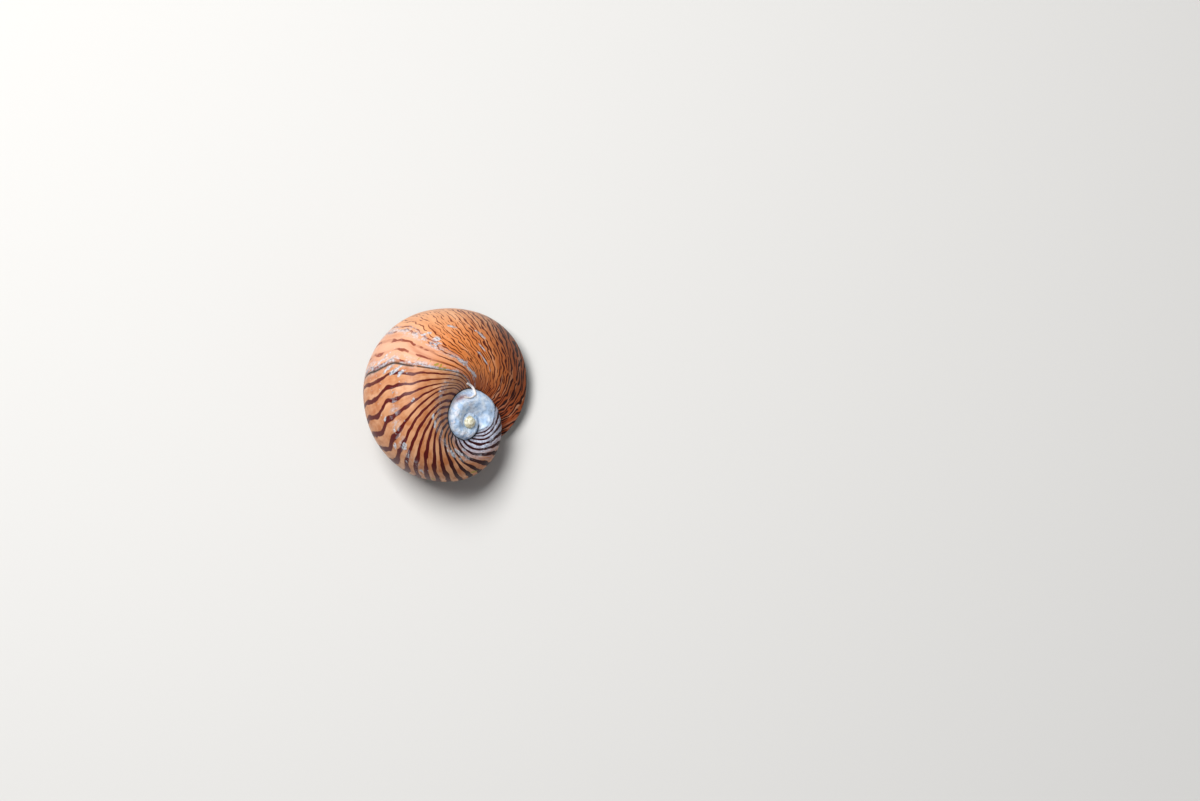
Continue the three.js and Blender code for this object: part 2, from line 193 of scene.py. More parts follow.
def rows(turns, start, end_turns, end_angles):
    """Growth lines as rows of turn and angle: the angle runs evenly from start to end, and the
    turn gains its lead with the square of that share."""
    share = np.linspace(0, 1, COLUMNS + 1)
    turn = turns[:, None] + (end_turns - turns)[:, None] * share ** 2
    angle = start[:, None] + (end_angles - start)[:, None] * share
    return np.stack([turn, angle], -1)


late_end_turns = late_turns + lead * (1 - smooth((late_turns + 360) / 360))
late_end_angles = base_angle(np.minimum(late_end_turns, -1.0))
next_suture = suture(early_turns + 360)
late_end_turns[0], late_end_angles[0] = newest[1:]
late = rows(late_turns, late_start[:, 0], late_end_turns, late_end_angles)
early = rows(early_turns, early_start[:, 0], next_suture[:, 1], next_suture[:, 2])
print("growth lines:", len(late) + len(early), "points on each:", COLUMNS + 1)

# %% [markdown]
# ## Growth lines that lean
# The stripes follow the edge that the shell had when they were laid down. That edge wasn't always
# the same: on the older part it stands nearly square to the whorl, and on the newest part it leans
# forward more and more. Eleven leaning curves, each given by a few places along the lip, say where
# the edge was at eleven times, and every point between two curves gets a value between theirs.

# %% The age of every point
PLACES = np.radians([112, 125, 140, 160, 175, 200, 225, 250, 262, 275, 300, 330, 400])
EDGE_WAS_AT = {
    -312: [-312, -307, -310, -317, -319, -312, -300, -290, -285, -280, -272, -262, -240],
    -280: [-280, -262, -266, -282, -287, -280, -270, -262, -258, -254, -246, -236, -215],
    -249: [-256, -238, -221, -235, -246, -249, -243, -237, -233, -230, -222, -212, -190],
    -203: [-226, -210, -196, -189, -196, -203, -205, -202, -202, -197, -190, -179, -155],
    -169: [-198, -184, -173, -162, -164, -169, -173, -174, -175, -172, -166, -155, -130],
    -150: [-177, -164, -155, -148, -148, -150, -152, -153, -154, -150, -142, -129, -102],
    -131: [-142, -135, -132, -130, -129, -131, -133, -129, -130, -122, -112, -98, -70],
    -112: [-126, -122, -120, -119, -116, -112, -107, -99, -102, -93, -83, -68, -40],
    -93: [-112, -108, -104, -101, -100, -93, -85, -73, -72, -64, -53, -42, -20],
    -62: [-99, -91, -83, -76, -71, -62, -51, -34, -25, -15, 0, 12, 30],
    -30: [-73, -63, -51, -41, -36, -30, -20, -8, -2, 6, 18, 32, 54],
}
ROUNDING = np.radians([-7.5, -2.5, 2.5, 7.5])


def age_line(turn, place):
    """Turn that the edge had on the right side when this point was laid down: even between two
    leaning curves, each rounded off over a few degrees, and at their distance outside them."""
    curves = [sum(np.interp(place + d, PLACES, row) for d in ROUNDING) / len(ROUNDING)
              for row in EDGE_WAS_AT.values()]
    knots = list(EDGE_WAS_AT)
    line = knots[0] + np.minimum(turn - curves[0], 0)
    for k in range(len(knots) - 1):
        share = np.clip((turn - curves[k]) / (curves[k + 1] - curves[k]), 0, 1)
        line = line + share * (knots[k + 1] - knots[k])
    return line + np.maximum(turn - curves[-1], 0)


print("leaning curves:", len(EDGE_WAS_AT), "places on each:", len(PLACES))

# %% [markdown]
# ## Relief
# The surface isn't smooth lime. Growth stopped twice, and each stop left a scar. The oldest whorls
# are eaten away by soft water, so the spire is pitted and chalky. A lattice noise, worked out for
# all the points at once, carves these from the surface. It only carves inwards, so the shell keeps
# its measured outline.

# %% Noise and the carving
SCAR, SECOND_SCAR = -93.0, -72.0
SCAR_DEPTH, SECOND_DEPTH, SWELL_DEPTH = 0.10, 0.05, 0.05
PIT_DEPTH, DENT_DEPTH, GRAIN_DEPTH = 0.10, 0.05, 0.03
WORN_TO, WORN_FADE = -300.0, 60.0


def lattice(cells, seed):
    """A fixed number from 0 to 1 for each whole cell, from the fraction of a large sine."""
    dots = cells @ np.array([127.1, 311.7, 74.7]) + seed * 17.13
    value = np.sin(dots) * 43758.5453
    return value - np.floor(value)


def noise(points, size, seed=0):
    """Value noise: numbers on a lattice of the given cell size, blended smoothly between its
    corners."""
    scaled = points / size
    cell = np.floor(scaled)
    part = smooth(scaled - cell)
    total = 0
    for corner in np.ndindex(2, 2, 2):
        weight = np.prod(np.where(np.array(corner) > 0, part, 1 - part), -1)
        total = total + weight * lattice(cell + corner, seed)
    return total


def outward(turn, angle):
    """Unit normal of the coil: the cross product of small steps in its two directions."""
    along_turn = coil(turn + 0.05, angle) - coil(turn - 0.05, angle)
    along_lip = coil(turn, angle + 1e-3) - coil(turn, angle - 1e-3)
    normal = np.cross(along_turn, along_lip)
    return normal / np.maximum(np.linalg.norm(normal, axis=-1, keepdims=True), 1e-12)


def bump_at(value, middle, width):
    """A smooth hump of height 1 around a middle, gone at one width on either side."""
    return smooth(1 - np.abs(value - middle) / width)


def carving(points, turn, angle):
    """Depth in mm: a groove along each scar, pits that fade in towards the spire, and a slow
    swell in the growth."""
    line = age_line(turn, angle)
    wander = 5 * (noise(points, 2.2, 1) - 0.5)
    scar = SCAR_DEPTH * bump_at(line + wander * 0.4, SCAR, 1.6)
    scar = scar * (0.4 + 0.6 * noise(points, 1.3, 2))
    second = SECOND_DEPTH * bump_at(line + wander, SECOND_SCAR, 2.2) * noise(points, 1.1, 3)
    frayed = WORN_FADE * (noise(points, 0.9, 4) - 0.5)
    worn = smooth((WORN_TO - turn + frayed) / WORN_FADE)
    pits = worn * (PIT_DEPTH * smooth(2.2 * noise(points, 0.55, 5) - 0.9)
                   + DENT_DEPTH * noise(points, 0.22, 6) + GRAIN_DEPTH * noise(points, 0.11, 7))
    swell = SWELL_DEPTH * noise(np.stack([line / 9, angle * 1.4, 0 * line], -1), 1.0, 8)
    return scar + second + pits * (WHORL_GROWTH ** (np.minimum(turn + 380, 0) / 900)) + swell


def surface(grid):
    """Points of a grid of turn and angle, carved inwards along the normal, but not at the ends of
    a growth line, so that whorls still meet on the suture."""
    turn, angle = grid[..., 0], grid[..., 1]
    points = coil(turn, angle)
    share = np.linspace(0, 1, grid.shape[1])
    fade = smooth(share * 18) * smooth((1 - share) * 18)
    return points - outward(turn, angle) * (carving(points, turn, angle) * fade)[..., None]


late_points, early_points = surface(late), surface(early)
uncarved = coil(early[..., 0], early[..., 1])
print("deepest carving, mm:", round(float(np.abs(early_points - uncarved).max()), 3))

# %% [markdown]
# ## The shell as one closed skin
# The outside is a grid of growth lines. Underneath, the lip turns in to the mouth, and behind the
# mouth lies the flat deck that nerites have in place of a twisted column, with a row of low teeth
# on its edge. All of these are rings of the same number of points, so the skin closes without a
# boolean cut, which would leave slivers along the suture.

# %% Underside: the mouth, the deck and the teeth
LIP_THICKNESS, RIM_RISE, HOLLOW_TAPER = 0.9, 0.35, 0.15
DECK_EDGE, DECK_SWELL, DECK_FADE = 3.2, 0.16, 1.2
TOOTH_COUNT, TOOTH_HEIGHT, TOOTH_ARC, TOOTH_HALF_SPAN = 7, 0.32, 96, 44
CORNER, FAR_AWAY = 0.35, 99.0
RIM_RINGS, HOLLOW_RINGS, HOLLOW_TURN = 9, 10, 34
MOUTH_MIDDLE = np.array([-0.6, -3.2, 0.0])


def polar(points, middle):
    """Bearing and distance of points of the lip plane, seen from a middle."""
    arm = points - middle
    return np.arctan2(arm[..., 1], arm[..., 0]), np.hypot(arm[..., 0], arm[..., 1])


def rays(bearing):
    """Unit vectors in the lip plane along each bearing."""
    return np.stack([np.cos(bearing), np.sin(bearing), 0 * bearing], -1)


def inwards(angle):
    """Unit vectors from the lip outline to its inside: a small step along it, turned a quarter."""
    along = lip(angle + 0.01) - lip(angle - 0.01)
    inward = np.stack([-along[:, 1], along[:, 0], 0 * angle], -1)
    return inward / np.linalg.norm(inward, axis=1, keepdims=True)


def ahead_of_axis(points):
    """How far points of the lip plane lie in front of the line where the coil stops advancing."""
    arm = points - APEX
    climb = np.cross(AXIS, arm)[..., 2] - math.log(WHORL_GROWTH) / (2 * math.pi) * arm[..., 2]
    return climb / math.cos(AXIS_RISE)


deck_probe = np.linspace(-math.pi, math.pi, 721)
DECK_BEARING = float(deck_probe[ahead_of_axis(MOUTH_MIDDLE + rays(deck_probe)).argmin()])
print("the deck faces this bearing, degrees:", round(math.degrees(DECK_BEARING), 1))


def mouth_edge(bearing, tooth_height=TOOTH_HEIGHT):
    """Distance of the mouth's edge from its middle: the lip outline moved inwards, or the deck's
    straight edge where that is nearer, less a row of teeth that are powers of a cosine."""
    ring = np.linspace(0, 2 * math.pi, 721)
    angle, reach = polar(lip(ring) + LIP_THICKNESS * inwards(ring), MOUTH_MIDDLE)
    order = np.argsort(angle)
    round_edge = np.interp(bearing, angle[order], reach[order], period=2 * math.pi)
    start = ahead_of_axis(MOUTH_MIDDLE) - DECK_EDGE
    rate = start + DECK_EDGE - ahead_of_axis(MOUTH_MIDDLE + rays(bearing))
    deck = np.where(rate > 0.02, start / np.maximum(rate, 0.02), FAR_AWAY)
    across = (np.degrees(bearing - DECK_BEARING) + 180) % 360 - 180
    wave = np.abs(np.cos(np.pi * across / TOOTH_ARC * TOOTH_COUNT)) ** 1.5
    teeth = tooth_height * wave * smooth((TOOTH_HALF_SPAN - np.abs(across)) / 12)
    blend = np.clip(0.5 + (round_edge - deck) / (2 * CORNER), 0, 1)
    both = round_edge + (deck - round_edge) * blend - CORNER * blend * (1 - blend)
    return both - teeth


def underside(loop):
    """Rings of points from the rim to the mouth's edge, and back along the coil into the hollow.
    The lip rises inwards with a power, and the deck swells by half a sine."""
    bearing, reach = polar(loop, MOUTH_MIDDLE)
    ray = rays(bearing)
    rings = []
    for share in np.linspace(0, 1, RIM_RINGS + 1)[1:]:
        distance = reach + (mouth_edge(bearing) - reach) * share
        ring = MOUTH_MIDDLE + ray * distance[:, None]
        deck = smooth((DECK_EDGE + 0.7 - ahead_of_axis(ring)) / DECK_FADE)
        ring[:, 2] = ((1 - deck) * RIM_RISE * share ** 1.5
                      - deck * DECK_SWELL * math.sin(math.pi * share))
        rings.append(ring)
    for share in np.linspace(0, 1, HOLLOW_RINGS + 1)[1:]:
        tooth = max(TOOTH_HEIGHT - 1.6 * share, 0)
        ring = MOUTH_MIDDLE + ray * (mouth_edge(bearing, tooth) - HOLLOW_TAPER * share)[:, None]
        ring[:, 2] = rings[RIM_RINGS - 1][:, 2] * (1 - smooth(2.5 * share))
        rings.append(carry(ring, np.full(len(ring), -HOLLOW_TURN * share ** 1.4)))
    return np.stack(rings)


# %% [markdown]
# ## Joining the skin
# The grids are joined by their vertex numbers. The growth lines of the older whorls are four times
# further apart than those of the last whorl, so along that stretch of the suture each old face
# gets four short edges instead of one. Every face corner also keeps its own turn and place along
# the lip, because at the suture one vertex belongs to two whorls of different age.

# %% A mesh, and faces that keep numbers at their corners
def mesh_piece(name, points, faces, corner_values=None, material_rows=None):
    """A mesh object from points in metres and faces as lists of vertex numbers, with named
    numbers per face corner and a material number per face."""
    mesh = bpy.data.meshes.new(name)
    mesh.from_pydata(points, [], faces)
    for key, values in (corner_values or {}).items():
        mesh.attributes.new(key, "FLOAT", "CORNER").data.foreach_set("value", values)
    if material_rows is not None:
        mesh.polygons.foreach_set("material_index", material_rows)
    mesh.polygons.foreach_set("use_smooth", np.ones(len(faces), bool))
    mesh.update()
    piece = bpy.data.objects.new(name, mesh)
    bpy.context.scene.collection.objects.link(piece)
    return piece


def quads(grid):
    """The four corners of every face between neighbouring rows and columns of a grid."""
    corners = np.stack([grid[:-1, :-1], grid[1:, :-1], grid[1:, 1:], grid[:-1, 1:]], 2)
    return corners.reshape(-1, *corners.shape[2:])


def seam_gaps(grid):
    """Distances in mm to the first and the last point of each growth line, on a suture both."""
    points = coil(grid[..., 0], grid[..., 1])
    return [np.linalg.norm(points - points[:, k:k + 1], axis=-1) for k in (0, COLUMNS)]


blocks = []


def add_faces(ids, where, seam=0.0, inward=0.0):
    """Adds faces by their vertex numbers, and for each corner its turn, its place, its distance
    to the suture and how far inwards from the rim it lies."""
    where = np.broadcast_to(where, ids.shape + (2,))
    numbers = (where[..., 0], where[..., 1], seam, inward)
    blocks.append((ids, np.stack([np.broadcast_to(n, ids.shape).ravel() for n in numbers])))


# %% The outside of the shell
JOIN = round(EARLY_STEP / LATE_STEP)
PER_WHORL = round(360 / EARLY_STEP)
FAR_FROM_SEAM = DEEP_INSIDE = 9.0
early_ids = np.arange(len(early) * COLUMNS).reshape(-1, COLUMNS)
late_ids = early_ids.size + np.arange(len(late) * (COLUMNS + 1)).reshape(-1, COLUMNS + 1)
late_ids[0, -1] = late_ids[-1, 0]
old_ids, old_grid = np.vstack([early_ids, late_ids[:1, :-1]]), np.vstack([early, late[:1]])
shell_points = np.vstack([early_points[:, :-1].reshape(-1, 3), late_points.reshape(-1, 3), APEX])

# On the worn tip the seam is gone, so there it counts as further away.
starts, ends = seam_gaps(old_grid)
turns = old_grid[:, :1, 0]
old_gap = np.minimum(starts + 2 * smooth((-375 - turns) / 50),
                     ends + 2 * smooth((-640 - turns) / 50))
new_gap, ends = seam_gaps(late)
new_gap[0] = np.minimum(new_gap[0], ends[0])
add_faces(quads(old_ids), quads(old_grid[:, :-1]), quads(old_gap[:, :-1]))
add_faces(quads(late_ids), quads(late), quads(new_gap))

# The suture: one face to one between the older whorls, then one to four.
tight = len(early) - PER_WHORL
strip = np.column_stack([old_ids[:tight + 1, -1], old_ids[PER_WHORL:, 0]])
add_faces(quads(strip), quads(old_grid[:tight + 1, -2:]))
wide = np.arange(tight, len(early))
steps = (wide[:, None] - tight + 1) * JOIN - np.arange(JOIN + 1)
sides = old_grid[:, -2]
add_faces(np.column_stack([old_ids[wide, -1], old_ids[wide + 1, -1], late_ids[steps, 0]]),
          np.hstack([sides[wide, None], sides[wide + 1, None], late_start[steps, 1:]]))

# The tip: two fans of triangles to one point.
tip_id = len(shell_points) - 1
inner, first = early_ids[:PER_WHORL + 1, 0], np.append(early_ids[0], early_ids[PER_WHORL, 0])
for near, far in ((inner[1:], inner[:-1]), (first[:-1], first[1:])):
    tips = np.full(len(near), tip_id)
    add_faces(np.column_stack([near, far, tips]), early[0, 0], FAR_FROM_SEAM)
outside_faces = sum(len(ids) for ids, _ in blocks)
print("faces outside:", outside_faces)

# %% The underside joined on
rim_ids = np.concatenate([late_ids[-1], late_ids[1:-1, -1][::-1]])
rim_where = np.vstack([late[-1], late[1:-1, -1][::-1], late[-1, :1]])
rings = underside(shell_points[rim_ids])
ring_ids = len(shell_points) + np.arange(rings[..., 0].size).reshape(rings.shape[:2])
ring_ids = np.vstack([rim_ids, ring_ids])
ring_ids = np.column_stack([ring_ids, ring_ids[:, 0]])
shell_points = np.vstack([shell_points, rings.reshape(-1, 3), rings[-1].mean(0)])
way_in = np.broadcast_to(np.arange(len(ring_ids))[:, None] / RIM_RINGS, ring_ids.shape)
add_faces(quads(ring_ids), quads(np.broadcast_to(rim_where, ring_ids.shape + (2,))),
          FAR_FROM_SEAM, quads(way_in))
hub = np.full(len(rim_ids), len(shell_points) - 1)
add_faces(np.column_stack([ring_ids[-1, :-1], hub, ring_ids[-1, 1:]]),
          np.stack([rim_where[:-1], rim_where[:-1], rim_where[1:]], 1), FAR_FROM_SEAM, DEEP_INSIDE)

all_ids = [ids for ids, _ in blocks]
turn_values, place_values, seam_values, inward_values = np.hstack([values for _, values in blocks])
kept, renumbered = np.unique(np.concatenate([ids.ravel() for ids in all_ids]), return_inverse=True)
parts = np.split(renumbered, np.cumsum([ids.size for ids in all_ids])[:-1])
face_lists = [face for part, ids in zip(parts, all_ids)
              for face in part.reshape(ids.shape).tolist()]
shell_points = shell_points[kept]
print("faces of the shell:", len(face_lists))

# %% The count of the stripes
STRIPE_SPACING = {-370: 9, -345: 12, -325: 14, -280: 16, -249: 16, -203: 16, -185: 14, -169: 12,
                  -150: 10, -131: 8.6, -112: 7.6, -98: 7, -90: 6.6, -76: 5.6, -70: 3.1, -50: 2.8,
                  -38: 3.4, 0: 4.0, 60: 4.5}
MIDDLE_OF_A_STRIPE = -139
ages = np.linspace(-1100, 130, 4000)
spacing = np.interp(ages, list(STRIPE_SPACING), list(STRIPE_SPACING.values()))
counts = np.concatenate([[0], np.cumsum((ages[1] - ages[0]) / spacing)[:-1]])
counts += 0.5 - np.interp(MIDDLE_OF_A_STRIPE, ages, counts) % 1
line_values = age_line(turn_values, place_values)
stripe_values = np.interp(line_values, ages, counts)
print("stripes from the tip to the lip:", round(float(np.ptp(stripe_values))))

# %% Scuffs and algae, and the shell in the frame
SCUFFS = [
    (-87, 152, 3, 12), (-82, 168, 3, 10), (-70, 205, 4, 9), (-64, 217, 4, 10), (-58, 228, 3, 9),
    (-57, 168, 1.8, 13), (-84, 238, 3.5, 11), (-90, 228, 4, 6), (-78, 247, 2.5, 10),
    (-143, 231, 5, 7), (-134, 247, 3, 6), (-126, 237, 3, 6), (-120, 205, 2.5, 6),
    (-166, 166, 6, 5), (-155, 169, 5, 4), (-130, 161, 2.5, 9), (-217, 160, 12, 7),
    (-235, 150, 9, 6), (-257, 140, 8, 7), (-53, 294, 4, 8), (-64, 263, 2, 8), (-112, 250, 2, 4),
    (-101, 236, 3, 5), (-190, 152, 6, 5), (-48, 178, 1.6, 8), (-37, 196, 1.5, 7),
    (-300, 150, 8, 8), (-150, 245, 2, 3), (-168, 236, 4, 5), (-46, 216, 1.5, 6),
]
ALGAE = [(-98, 176, 3, 5), (-93, 188, 2.5, 5), (-95, 182, 5, 2), (-64, 245, 1.2, 1.5),
         (-83, 213, 2, 2), (-88, 197, 2, 3), (-180, 240, 4, 5), (-240, 195, 6, 4)]
place_degrees = np.degrees(place_values)
corner_points = coil(turn_values, np.radians(place_degrees))
frayed = (1.1 * (noise(corner_points, 0.8, 21) - 0.5)
          + 0.8 * (noise(corner_points, 0.33, 22) - 0.5))


def spots_at(table):
    """Share from 0 to 1 of being in a ragged spot of a table, whose rows are the middle and half
    sizes in degrees of turn and of place. Noise shifts the distance to a middle."""
    share = 0 * turn_values
    for turn, place, half_turn, half_place in table:
        away = np.hypot((turn_values - turn) / half_turn, (place_degrees - place) / half_place)
        share = np.maximum(share, smooth((1.45 - away + frayed) / 1.2))
    return share


shell = mesh_piece("shell_skin", stand(shell_points), face_lists, {
    "turn": turn_values,
    "place": place_degrees,
    "line": line_values,
    "stripe": stripe_values,
    "scuff": spots_at(SCUFFS),
    "algae": spots_at(ALGAE),
    "seam": seam_values,
    "inward": inward_values,
}, (np.arange(len(face_lists)) >= outside_faces).astype(int))
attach(shell, "root")
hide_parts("shell")
print("shell: points", len(shell_points), "face corners", len(turn_values))

# %% [markdown]
# ## Shader arithmetic
# A pattern such as a stripe is arithmetic: a distance, a wave, a threshold. In the shader editor
# that is a tangle of small Math nodes. Here one small class wraps a socket and gives it Python's
# own operators, so a pattern is written as the formula that it is.

# %% A socket that can be reckoned with
class Flow:
    """An output socket of a material. Arithmetic adds Math nodes, and node() adds any other node:
    its settings are set first, then the values or links of its inputs."""

    def __init__(self, tree, socket=None):
        self.tree, self.socket = tree, socket

    def node(self, kind, settings=None, inputs=None, output=0):
        made = self.tree.nodes.new(kind)
        for key, value in (settings or {}).items():
            setattr(made, key, value)
        for key, value in (inputs or {}).items():
            if isinstance(value, Flow):
                self.tree.links.new(value.socket, made.inputs[key])
            else:
                made.inputs[key].default_value = value
        return Flow(self.tree, made.outputs[output])

    def math(self, operation, *others):
        return self.node("ShaderNodeMath", {"operation": operation},
                         dict(enumerate((self, *others))))

    def __add__(self, other):
        return self.math("ADD", other)

    def __sub__(self, other):
        return self.math("SUBTRACT", other)

    def __rsub__(self, other):
        return self.node("ShaderNodeMath", {"operation": "SUBTRACT"}, {0: other, 1: self})

    def __mul__(self, other):
        return self.math("MULTIPLY", other)

    __radd__, __rmul__ = __add__, __mul__

    def step(self, low, high):
        """Smooth step: 0 below low, 1 above high. With high below low it falls instead."""
        return self.node("ShaderNodeMapRange", {"interpolation_type": "SMOOTHSTEP"},
                         {"Value": self, "From Min": low, "From Max": high})

    def hump(self, middle, width):
        """A soft bump around a middle, gone at one width on either side."""
        return (self - middle).math("ABSOLUTE").step(width, 0)

    def noise(self, size, detail=2, rough=0.5):
        """Noise from about 0 to 1 in cells of a size, read at this place."""
        return self.node("ShaderNodeTexNoise", {"noise_dimensions": "3D"}, {
            "Vector": self, "Scale": 1 / size, "Detail": detail, "Roughness": rough})

    def spots(self, size):
        """Distance from this place to the nearest of scattered points, in cells of a size."""
        return self.node("ShaderNodeTexVoronoi", {}, {"Vector": self, "Scale": 1 / size})

    def attribute(self, name):
        return self.node("ShaderNodeAttribute", {"attribute_name": name}, output="Fac")

    def grown(self, long, wide, seed, detail=0, rough=0.5):
        """Noise drawn out along the growth lines: this age and the place along the lip are each
        multiplied by a factor, so its cells have their own length and width."""
        place = self.attribute("place")
        return self.node("ShaderNodeCombineXYZ", {}, {
            0: self * long, 1: place * wide, 2: seed}).noise(1, detail, rough)

    def layers(self, base, *coats):
        """Colours laid over a base one after another, each by a share from 0 to 1."""
        for share, colour in coats:
            base = self.node("ShaderNodeMix", {"data_type": "RGBA"},
                             {0: share, 6: linear(base), 7: linear(colour)}, 2)
        return base

    def bump(self, strength, depth):
        """A normal that leans as if this height, times a depth in metres, were carved."""
        return self.node("ShaderNodeBump", {}, {
            "Strength": strength, "Distance": depth, "Height": self})


def linear(colour):
    """Red, green and blue from 0 to 255 as the linear numbers that a shader needs: in proportion
    when very dark, otherwise a power of 2.4. A socket stays as it is."""
    if isinstance(colour, Flow):
        return colour
    return [c / 3294.6 if c <= 10.31475 else ((c / 255 + 0.055) / 1.055) ** 2.4
            for c in colour] + [1.0]


def finish(name, **constants):
    """A new material with constants on the shader's own sockets, the start of its arithmetic, and
    the place on the object that its patterns read."""
    material = bpy.data.materials.new(name)
    material.use_nodes = True
    shader = material.node_tree.nodes["Principled BSDF"]
    for key, value in constants.items():
        shader.inputs[key.replace("_", " ")].default_value = value
    flow = Flow(material.node_tree)
    return material, flow, flow.node("ShaderNodeTexCoord", output="Object")


def coat(material, *pieces, **flows):
    """Links what varies over the surface to the shader, and gives the material to the pieces."""
    shader = material.node_tree.nodes["Principled BSDF"]
    for key, flow in flows.items():
        material.node_tree.links.new(flow.socket, shader.inputs[key.replace("_", " ")])
    for piece in pieces:
        piece.data.materials.append(material)


# %% [markdown]
# ## The shell's finish
# The snail lays down dark stripes as it grows, broad ones at first and, after a stop that left a
# scar, fine wavy ones. The stripes are counted along the age of the shell, and noise shifts the
# count, so they wander, fork and break as real ones do. Over them lie what life did to the shell:
# chalky scuffs along the scars, a bleached spire and specks of algae. A painted picture could show
# one side only; this pattern covers the whole shell. Turns, ages and places are in degrees here,
# sizes of noise cells in metres, and all other numbers are shares.

# %% Stripes
EDGE_BLUR = 0.035


def stripes(flow, spot):
    """The dark share of the pattern: the distance to the middle of the nearest stripe, against a
    half width, in shares of the spacing. Noise moves the count and the width. In the zigzag zone
    patches of noise also shift the count by half a stripe, and stripes taper where they meet."""
    place, line = flow.attribute("place"), flow.attribute("line")
    stripe = flow.attribute("stripe")
    old, late = line.step(-96, -180), line.step(-58, -14)
    zigzag = line.step(SCAR + 10, SCAR + 26)
    slow, quick = spot.noise(0.0030, 1), spot.noise(0.0012, 1)
    bend = stripe.grown(0.45, 0.075, 1) - 0.5
    crinkle = stripe.grown(0.55, 0.14, 5) - 0.5
    patch = stripe.grown(0.50, 0.024, 11) - 0.5
    breaks = stripe.grown(0.95, 0.12, 3, 2) - 0.5
    wander = (slow - 0.5) * 0.28 + (quick - 0.5) * 0.22 + bend * 0.30
    lively = place.step(235, 170) * 0.35 + 0.75
    count = stripe + wander * (1 - zigzag * 0.5) + (bend + crinkle) * zigzag * lively
    count = count + patch.step(-0.010, 0.010) * zigzag * 0.5
    off_middle = (count.math("FRACT") - 0.5).math("ABSOLUTE")
    bare = place.step(190, 225) * line.step(-80, -66) * line.step(-30, -50)
    half_width = 0.140 + old * 0.090 + late * 0.08 + zigzag * 0.01 - bare * 0.04
    half_width = half_width + place.step(228, 256) * old * 0.07
    half_width = half_width - place.step(196, 236) * zigzag * 0.03
    half_width = half_width - patch.hump(0, 0.018) * zigzag * 0.26
    return (half_width + breaks * (zigzag * 0.36 + 0.14) - off_middle).step(-EDGE_BLUR, EDGE_BLUR)


shell_paint, flow, spot = finish("shell_paint", Coat_Roughness=0.25, Specular_IOR_Level=0.14)
turn, place = flow.attribute("turn"), flow.attribute("place")
line = flow.attribute("line")
newer = line.step(SCAR - 0.8, SCAR + 0.8)
band = stripes(flow, spot)
print("nodes for the stripes:", len(shell_paint.node_tree.nodes))

# %% Colours of the ground and the stripes
mottle = spot.noise(0.0013, 4)
# Fine growth streaks: the darker ones are the shell's own tone, the lighter ones partly its own
# tone and partly painted sheen.
growth_streaks_and_sheen = line.grown(0.22, 0.02, 9, 3)
by_suture = place.step(158, 130)
# A darker brown over the oldest ground: partly its own browner tone, partly painted shade.
old_brown_and_shade = line.step(-190, -330) * place.step(215, 170)
# The newest growth on the right, near the lip, is darker in the ground and the stripes: partly its
# own colour, partly painted shade.
edge = line.step(-46, -4) * place.step(266, 218)
pale = line.hump(SCAR + 9, 17) * place.step(165, 215)
tan = flow.layers(
    (204, 147, 107),
    (mottle.step(0.35, 0.7), (176, 110, 68)),
    (by_suture * 0.5, (206, 136, 88)),
    (old_brown_and_shade * 0.7, (122, 76, 58)),
)
orange = flow.layers(
    (220, 158, 112),
    (place.step(250, 180), (222, 132, 70)),
    (edge * 0.85, (104, 40, 15)),
    (by_suture * 0.65, (160, 66, 26)),
)
ground = flow.layers(
    tan,
    (newer, orange),
    (pale * 0.85, (220, 168, 140)),
    (growth_streaks_and_sheen.step(0.48, 0.75) * 0.45, (166, 80, 40)),
    (growth_streaks_and_sheen.step(0.50, 0.25) * 0.40, (240, 196, 160)),
)
ink = flow.layers(
    (86, 22, 20),
    (newer, (98, 34, 18)),
    (place.step(192, 232) * newer * 0.4, (150, 76, 48)),
    (edge, (44, 10, 4)),
    (pale * 0.6, (140, 60, 46)),
    (line.step(-150, -235) * 0.9, (40, 7, 9)),
)
gone = line.grown(0.22, 0.06, 2, 1).step(0.44, 0.54)
striped = flow.layers(ground, (band * (1 - pale * (gone * 0.80 + 0.10)), ink))
print("nodes with the colours:", len(shell_paint.node_tree.nodes))

# %% Wear: chalk on the scars and scuffs, and the crack
grain = spot.noise(0.00035, 4, 0.65)
streak = line.grown(0.45, 0.07, 7, 4, 0.6)
drift = (spot.noise(0.0026) - 0.5) * 6
ragged = (grain * 0.40 + streak * 1.10 - 0.75) * 1.5 + 0.5
scuff = (flow.attribute("scuff") * 0.70 + ragged * 0.50).step(0.64, 0.90)
first_scar = (line + drift * 0.35).hump(SCAR + 1.4, 5.2) * ragged.step(0.36, 0.66)
second_scar = (line + drift * 0.7).hump(SECOND_SCAR - 2, 4.6) * ragged.step(0.34, 0.62)
bands = place.hump(158, 13) * line.step(-60, -110)
bands = bands + place.hump(233, 13) * line.step(-104, -114) * line.step(-175, -150)
film = (ragged * 0.8 + spot.noise(0.0011) * 0.6).step(0.60, 1) * bands
low_left = place.step(205, 225) * line.step(-60, -110)
specks = spot.spots(0.0006).step(0.20, 0.10) * low_left * mottle.step(0.45, 0.55)
marks = scuff + first_scar * 0.9 + second_scar * 0.8 + specks * 0.8 + film * 0.75
chalk = marks.math("MINIMUM", 1)
powder = flow.layers((128, 138, 146), (grain.step(0.35, 0.60), (206, 214, 224)))
crack = (line + drift * 0.15).hump(SCAR - 0.7, 1.25) * spot.noise(0.0018).step(0.30, 0.42)
print("nodes with chalk and crack:", len(shell_paint.node_tree.nodes))
